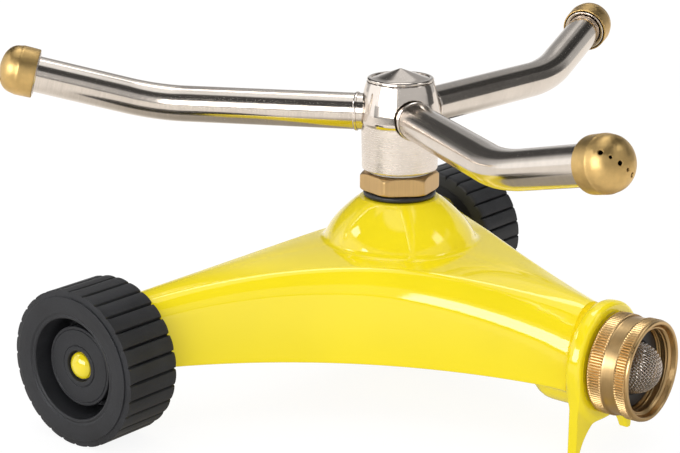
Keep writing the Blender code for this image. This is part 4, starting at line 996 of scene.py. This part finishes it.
class SPRINKLER_OT_spindle(Operator):
    """Build the brass spindle with its hexagon, and the washer under it"""
    bl_idname = "sprinkler.spindle"
    bl_label = "Spindle"

    def execute(self, context):
        piece(field_mesh("spindle_body", hexagon_field, (-15, -15, 56), (15, 15, 105),
                         0.8, 12, 0.2, 2), "sawn_brass", "base", "brass", "riser_spindle")
        ring = rounded([(8.6, 70.35, 0.2), (12.5, 70.35, 0.75), (12.7, 72.15, 0.9), (8.6, 72.15, 0.2)], 6)
        piece(lathe("boss_washer_ring", ring, 96, Matrix.Identity(4)),
              "black_rubber_skin", "base", "black_rubber", "boss_washer")
        return {"FINISHED"}


HUB_OUTLINE = rounded([
    (9.6, 110.6, 0.1), (11.5, 110.6, 0.35), (11.85, 109.7, 0.6), (12.45, 107.6, 3), (13.15, 104.2, 4),
    (13.85, 100.2, 4), (14.15, 97.7, 0.9), (14, 96.9, 0.6), (13.4, 95.9, 1), (13.1, 79.9, 0.7),
    (6.3, 79.9, 0.2), (6.3, 86.5, 0.1), (9.6, 86.5, 0.2)], 5)


def hub_field(points):
    """The hub's turned body with three sockets for the arms."""
    x, y, z = points.T
    body = outline_distance(np.hypot(x, y), z, HUB_OUTLINE)
    for angle in ARM_REST_ANGLES:
        out = flat_direction(angle)
        across = np.hypot(x * out.y - y * out.x, z - ARM_HEIGHT)
        body = smooth_common(body, -capped(across, x * out.x + y * out.y, 6.65, 6, 20), 0.25)
    return body


class SPRINKLER_OT_hub(Operator):
    """Build the hub, its pointed cap and the rings where the arms enter"""
    bl_idname = "sprinkler.hub"
    bl_label = "Hub"

    def execute(self, context):
        piece(field_mesh("hub_body", hub_field, (-16, -16, 78.5), (16, 16, 112), 0.75, 7, 0.2, 2),
              "plated_hub", "rotor", "nickel_plate", "rotor_hub")
        outline = [(0, 114.9), (0.4, 114.83), (0.9, 114.62), (4, 113.5), (7.6, 112.2), (8.9, 111.74),
                   (9.3, 111.66)]
        outline += rounded([
            (9.7, 111.68, 0.3), (10.5, 111.95, 1), (11.3, 111.8, 0.7), (11.72, 110.85, 0.4)], 6)
        outline += [(11.3, 110.75), (9.3, 110.75), (9.3, 106.1), (9, 106), (0, 106)]
        piece(lathe("hub_cap_point", outline, 96, Matrix.Identity(4), True, 40),
              "plated_hub", "rotor", "nickel_plate", "hub_cap")
        ring = rounded([(6.45, 14.5, 0.05), (6.72, 14.5, 0.1), (6.78, 15.2, 0.25), (6.6, 15.6, 0.15),
                        (6.45, 15.6, 0.05)], 4)
        for number, angle in enumerate(ARM_REST_ANGLES, 1):
            place = frame_along(flat_direction(angle), (0, 0, ARM_HEIGHT))
            piece(lathe("arm_collar_%d_ring" % number, ring, 72, place),
                  "bright_nickel", "rotor", "nickel_plate", "arm_collar_%d" % number)
        return {"FINISHED"}


# Arms and nozzles

ELBOW_REACH = 86.7
ELBOW_RADIUS = 60
NOZZLE_LENGTH = 12.8
NOZZLE_STRAIGHT = 6.2               # from the rim to where the dome starts
RIM_DISTANCE = 55.9 - NOZZLE_LENGTH
UP = Vector((0, 0, 1))


def arm_lines(number):
    """An arm's direction at the hub, its elbow and its direction beyond it."""
    outwards = flat_direction(ARM_REST_ANGLES[number - 1])
    away = Vector(JOINTS["nozzle_%d_turn" % number]["axis"]).normalized()
    return outwards, outwards * ELBOW_REACH + UP * ARM_HEIGHT, away


def nozzle_frame(number):
    """Frame at a cap's rim: Z out along the arm's end, X level."""
    _, elbow, away = arm_lines(number)
    side = away.cross(UP).normalized()
    turn = Matrix((side, away.cross(side), away)).transposed().to_4x4()
    return Matrix.Translation(elbow + away * RIM_DISTANCE) @ turn


def arm_path(number, start, end, steps):
    """Points along a tube's middle, with a round elbow."""
    outwards, elbow, away = arm_lines(number)
    bend = outwards.angle(away)
    first = elbow - outwards * ELBOW_RADIUS * math.tan(bend / 2)
    inwards = (away - outwards * away.dot(outwards)).normalized()
    base = UP * ARM_HEIGHT
    reach = (first - base).length
    points = [base + outwards * (start + (reach - start) * i / 12) for i in range(12)]
    for i in range(steps + 1):
        turn = bend * i / steps
        points.append(first + outwards * ELBOW_RADIUS * sin(turn)
                      + inwards * ELBOW_RADIUS * (1 - cos(turn)))
    last = elbow + away * end
    return points + [points[-1].lerp(last, i / 8) for i in range(1, 9)]


def tube_piece(name, path, outer, bore, sides):
    """Hollow tube along a path, with a UV map that runs along and round it."""
    bm = bmesh.new()
    layer = bm.loops.layers.uv.new("tube")
    lengths = [0]
    rings = []
    turns = [2 * pi * k / sides for k in range(sides)]
    for i, point in enumerate(path):
        before, after = path[max(i - 1, 0)], path[min(i + 1, len(path) - 1)]
        if i:
            lengths.append(lengths[-1] + (point - before).length)
        ahead = (after - before).normalized()
        side = ahead.cross(UP).normalized()
        over = side.cross(ahead)
        rings.append([[bm.verts.new(point + (side * cos(turn) + over * sin(turn)) * radius)
                       for turn in turns] for radius in (outer, bore)])
    strips = [(a[wall], b[wall], at) for a, b, at in zip(rings, rings[1:], zip(lengths, lengths[1:]))
              for wall in (0, 1)]
    strips += [(ring[0], ring[1], (0, 1)) for ring in (rings[0], rings[-1])]
    for a, b, (near, far) in strips:
        for k in range(sides):
            j = (k + 1) % sides
            face = bm.faces.new((a[k], b[k], b[j], a[j]))
            for loop, (along, turn) in zip(face.loops, ((near, k), (far, k), (far, k + 1), (near, k + 1))):
                loop[layer].uv = (along * MM, turn / sides)
    return finish_bmesh(name, bm, 50)


class SPRINKLER_OT_arms(Operator):
    """Build the three bent tubes"""
    bl_idname = "sprinkler.arms"
    bl_label = "Arms"

    def execute(self, context):
        for number in (1, 2, 3):
            path = arm_path(number, 10.2, RIM_DISTANCE + 6.6, 28)
            piece(tube_piece("arm_tube_%d_wall" % number, path, TUBE_RADIUS, 5.35, 64),
                  "polished_tube", "rotor", "stainless_steel", "arm_tube_%d" % number)
        return {"FINISHED"}


def cap_outline():
    """Nozzle cap from its rim at height 0 to its tip, outside and then inside."""
    outline = [(8.35, 0), (8.5, 0.06), (8.6, 0.2), (8.63, 0.6), (8.68, 2), (8.72, 4), (8.75, 5.6),
               (8.73, 6), (8.62, 6.3)]
    turns = [radians(90 * i / 15) for i in range(1, 15)]
    outline += [(8.5 * cos(turn) ** 0.94, NOZZLE_STRAIGHT + 6.48 * sin(turn) ** 0.85) for turn in turns]
    # The outline crosses the axis, so that the tip has no corner there
    outline += [(-4, NOZZLE_LENGTH), (-4, NOZZLE_LENGTH - 1.1)]
    outline += [(7.75 * cos(turn), NOZZLE_STRAIGHT + 5.5 * sin(turn) ** 0.93) for turn in turns[::-1]]
    return outline + [(7.95, 5.8), (8, 0.5), (8.1, 0)]


CAP_OUTLINE = cap_outline()
JET_OFFSET = 1.23                   # from the cap's middle to the row of jets
JET_LEAN = radians(39)
JETS = ((6.15, 0.75), (3.43, 0.5), (0, 0.75), (-3.55, 0.5), (-6.4, 0.75))  # place and radius


def cap_field(points):
    """Domed cap with a row of five jet holes whose rims are slightly dished."""
    x, y, z = points.T
    body = outline_distance(np.hypot(x, y), z, CAP_OUTLINE)
    above = z - NOZZLE_STRAIGHT
    for place, radius in JETS:
        across, up = JET_OFFSET + place * cos(JET_LEAN), -place * sin(JET_LEAN)
        aim = Vector((across, up, 6.6 * (1 - (across ** 2 + up ** 2) / 76.6) ** 0.43)).normalized()
        along = x * aim.x + y * aim.y + above * aim.z
        away = np.sqrt(np.maximum(x ** 2 + y ** 2 + above ** 2 - along ** 2, 0))
        body = smooth_common(body, -capped(away, along, radius, 2, 14), 0.22)
    return body


class SPRINKLER_OT_nozzles(Operator):
    """Build the three nozzle caps and the bright rings in their mouths"""
    bl_idname = "sprinkler.nozzles"
    bl_label = "Nozzles"

    def execute(self, context):
        ring = rounded([(6.65, 3, 0.1), (7.7, 3, 0.1), (7.72, -0.1, 0.2), (7.45, -0.4, 0.2),
                        (7, 0.05, 0.3), (6.65, 0.3, 0.1)], 4)
        for number in (1, 2, 3):
            body, place = "nozzle_%d" % number, nozzle_frame(number)
            piece(field_mesh("nozzle_cap_%d_dome" % number, cap_field, (-10, -10, -1.5), (10, 10, 16),
                             0.5, 10, 0.12, 3, place),
                  "mottled_brass", body, "brass", "nozzle_cap_%d" % number)
            piece(lathe("nozzle_ferrule_%d_ring" % number, ring, 64, place),
                  "bright_nickel", body, "nickel_plate", "nozzle_ferrule_%d" % number)
        return {"FINISHED"}


class SPRINKLER_OT_inner_parts(Operator):
    """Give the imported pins, washers, seals and tailpiece their finishes"""
    bl_idname = "sprinkler.inner_parts"
    bl_label = "Inner parts"

    def execute(self, context):
        finishes = {
            "turned_brass": "inlet_tailpiece",
            "bright_nickel": "axle_pin_left axle_pin_right axle_washer_left axle_washer_right retaining_clip",
            "acetal_skin": "lower_thrust_washer upper_thrust_washer",
            "black_rubber_skin": "rotary_seal nozzle_seal_1 nozzle_seal_2 nozzle_seal_3",
        }
        for name, nodes in finishes.items():
            for node in nodes.split():
                materials = NODES[node].data.materials
                count = max(len(materials), 1)
                materials.clear()
                for _ in range(count):
                    materials.append(finish(name))
        return {"FINISHED"}


# The studio

CAMERA_PLACE = (385.84, -519.24, 241.58)
CAMERA_AIM = (-0.59826, 0.75367, -0.27216)
CAMERA_RIGHT = (0.78300, 0.62202, 0.00133)
CAMERA_AZIMUTH = 306.6
FOCAL_PIXELS = 1923.9               # for a picture 680 pixels wide
DARK_CEILING = 0.09
# What glossy pieces see above the floor, each over the ones before it. Azimuths are degrees to
# the right of the camera, seen from the sprinkler: from, to, elevation from, to, level, softness.
SURROUNDINGS = (
    (-180, 180, -10, 34, 0.75, 6),
    (148, 215, -10, 14, 0.92, 10),
    (148, 215, 12, 60, 0.5, 8),
    (163, 190, 38, 58, 1, 4),
    (-180, 180, 70, 91.5, 1.5, 6),
    (-178, -95, 60, 74, 1.1, 6),
    (155, 207, 58, 73, 5, 4),
    (-168, -132, 7, 46, 0.10, 7),
    (-120, -68, -10, 30, 1.7, 10),
    (-104, -89, 34, 42, 7, 2),
    (74, 91, 33, 46, 4, 6),
    (92, 120, -10, 30, 0.14, 8),
    (112, 146, 24, 42, 0.06, 6),
    (-80, 90, -10, 4, 0.10, 3),
    (-66, -13, 6, 27, 10, 2),
)


def studio_world():
    """White surroundings with darker gaps, as glossy pieces see them."""
    world = bpy.data.worlds.new("studio")
    bpy.context.scene.world = world
    world.use_nodes = True
    world.cycles.sampling_method = "NONE"
    tree = world.node_tree
    tree.nodes.clear()
    x, y, z = split(add(tree, "ShaderNodeTexCoord", output="Generated"))
    turn = calc("DEGREES", calc("ARCTAN2", y, x)) - CAMERA_AZIMUTH
    rise = calc("DEGREES", calc("ARCSINE", z))
    level = DARK_CEILING
    for start, end, low, high, bright, soft in SURROUNDINGS:
        soft /= 2
        half = (end - start) / 2
        away = calc("ABSOLUTE", calc("WRAP", turn - (start + end) / 2, 180, -180))
        side = fade(away, half - soft, half + soft, 1, 0)
        inside = side * (fade(rise, low - soft, low + soft) * fade(rise, high - soft, high + soft, 1, 0))
        level = mixed(inside, level, bright)
    level = mixed(add(tree, "ShaderNodeLightPath", output="Is Diffuse Ray"), level,
                  fade(rise, 10, 75, 0.77, 1.8))
    level = mixed(add(tree, "ShaderNodeLightPath", output="Is Camera Ray"), level, 1)
    add(tree, "ShaderNodeOutputWorld", {0: add(tree, "ShaderNodeBackground", {"Strength": level})})


class SPRINKLER_OT_stage(Operator):
    """Set up the pale floor, the soft studio light and the camera"""
    bl_idname = "sprinkler.stage"
    bl_label = "Stage"

    def execute(self, context):
        made, shader, place = start_material("pale_floor")
        # Painted shade: glossy rays see the floor within about 0.10 to 0.19 m of the floor's middle darkened
        # to brown, standing in for the shade under and around the sprinkler. Camera and diffuse rays see it
        # evenly pale.
        near = fade(vector_calc("LENGTH", place), 0.10, 0.19)
        reflected_floor_painted_shade = mixed_colour(near, (0.30, 0.27, 0.22, 1), (0.92, 0.88, 0.83, 1))
        glossy = add(place.tree, "ShaderNodeLightPath", output="Is Glossy Ray")
        plug(shader, {
            "Base Color": tinted(noise(place, 3, 2), (1, 1, 1), 0.11, 0.13), "Roughness": 0.6,
            "Specular IOR Level": 0, "Emission Strength": 1,
            "Emission Color": mixed_colour(glossy, (0.9, 0.9, 0.9, 1), reflected_floor_painted_shade)})
        bm = bmesh.new()
        bmesh.ops.create_grid(bm, x_segments=8, y_segments=8, size=12)
        mesh = bpy.data.meshes.new("floor")
        bm.to_mesh(mesh)
        bm.free()
        new_object("floor", mesh, made)
        studio_world()

        data = bpy.data.lights.new("key", "AREA")
        data.shape = "RECTANGLE"
        data.size, data.size_y = 1.1, 0.7
        data.energy = 5
        lamp = bpy.data.objects.new("key", data)
        context.scene.collection.objects.link(lamp)
        lamp.location = (0.7, -1.25, 0.7)
        lamp.rotation_euler = (Vector((0, 0, 0.03)) - lamp.location).to_track_quat("-Z", "Y").to_euler()
        lamp.visible_camera = lamp.visible_glossy = False

        data = bpy.data.cameras.new("camera")
        data.sensor_width = 36
        data.sensor_fit = "HORIZONTAL"
        data.lens = data.sensor_width * FOCAL_PIXELS / 680
        data.clip_end = 50
        camera = bpy.data.objects.new("camera", data)
        context.scene.collection.objects.link(camera)
        aim = Vector(CAMERA_AIM).normalized()
        right = Vector(CAMERA_RIGHT).normalized()
        turn = Matrix((right, right.cross(aim).normalized(), -aim)).transposed().to_4x4()
        camera.matrix_world = Matrix.Translation(START + Vector(CAMERA_PLACE) * MM) @ turn
        context.scene.camera = camera
        context.scene.view_settings.view_transform = "Standard"
        context.scene.view_settings.look = "None"
        return {"FINISHED"}


OPERATORS = (
    SPRINKLER_OT_stage, SPRINKLER_OT_casting, SPRINKLER_OT_wheels, SPRINKLER_OT_wheel_caps,
    SPRINKLER_OT_coupling, SPRINKLER_OT_filter, SPRINKLER_OT_spindle, SPRINKLER_OT_hub,
    SPRINKLER_OT_arms, SPRINKLER_OT_nozzles, SPRINKLER_OT_inner_parts,
)


class SPRINKLER_PT_panel(Panel):
    """Lists the sprinkler's settings and pieces"""
    bl_idname = "SPRINKLER_PT_panel"
    bl_label = "Rotary sprinkler"
    bl_space_type = "VIEW_3D"
    bl_region_type = "UI"
    bl_category = "Sprinkler"

    def draw(self, context):
        layout = self.layout
        for group in (context.scene.sprinkler_shape, context.scene.sprinkler_colours):
            box = layout.box()
            for name in type(group).__annotations__:
                box.prop(group, name)
        for operator in OPERATORS:
            layout.operator(operator.bl_idname)


CLASSES = (SprinklerShape, SprinklerColours) + OPERATORS + (SPRINKLER_PT_panel,)


def register():
    for made in CLASSES:
        bpy.utils.register_class(made)
    bpy.types.Scene.sprinkler_shape = PointerProperty(type=SprinklerShape)
    bpy.types.Scene.sprinkler_colours = PointerProperty(type=SprinklerColours)


def unregister():
    del bpy.types.Scene.sprinkler_colours
    del bpy.types.Scene.sprinkler_shape
    for made in reversed(CLASSES):
        bpy.utils.unregister_class(made)


def main():
    register()
    bpy.ops.sprinkler.stage()
    bpy.ops.sprinkler.casting()
    bpy.ops.sprinkler.wheels()
    bpy.ops.sprinkler.wheel_caps()
    bpy.ops.sprinkler.coupling()
    bpy.ops.sprinkler.filter()
    bpy.ops.sprinkler.spindle()
    bpy.ops.sprinkler.hub()
    bpy.ops.sprinkler.arms()
    bpy.ops.sprinkler.nozzles()
    bpy.ops.sprinkler.inner_parts()


if __name__ == "__main__":
    main()
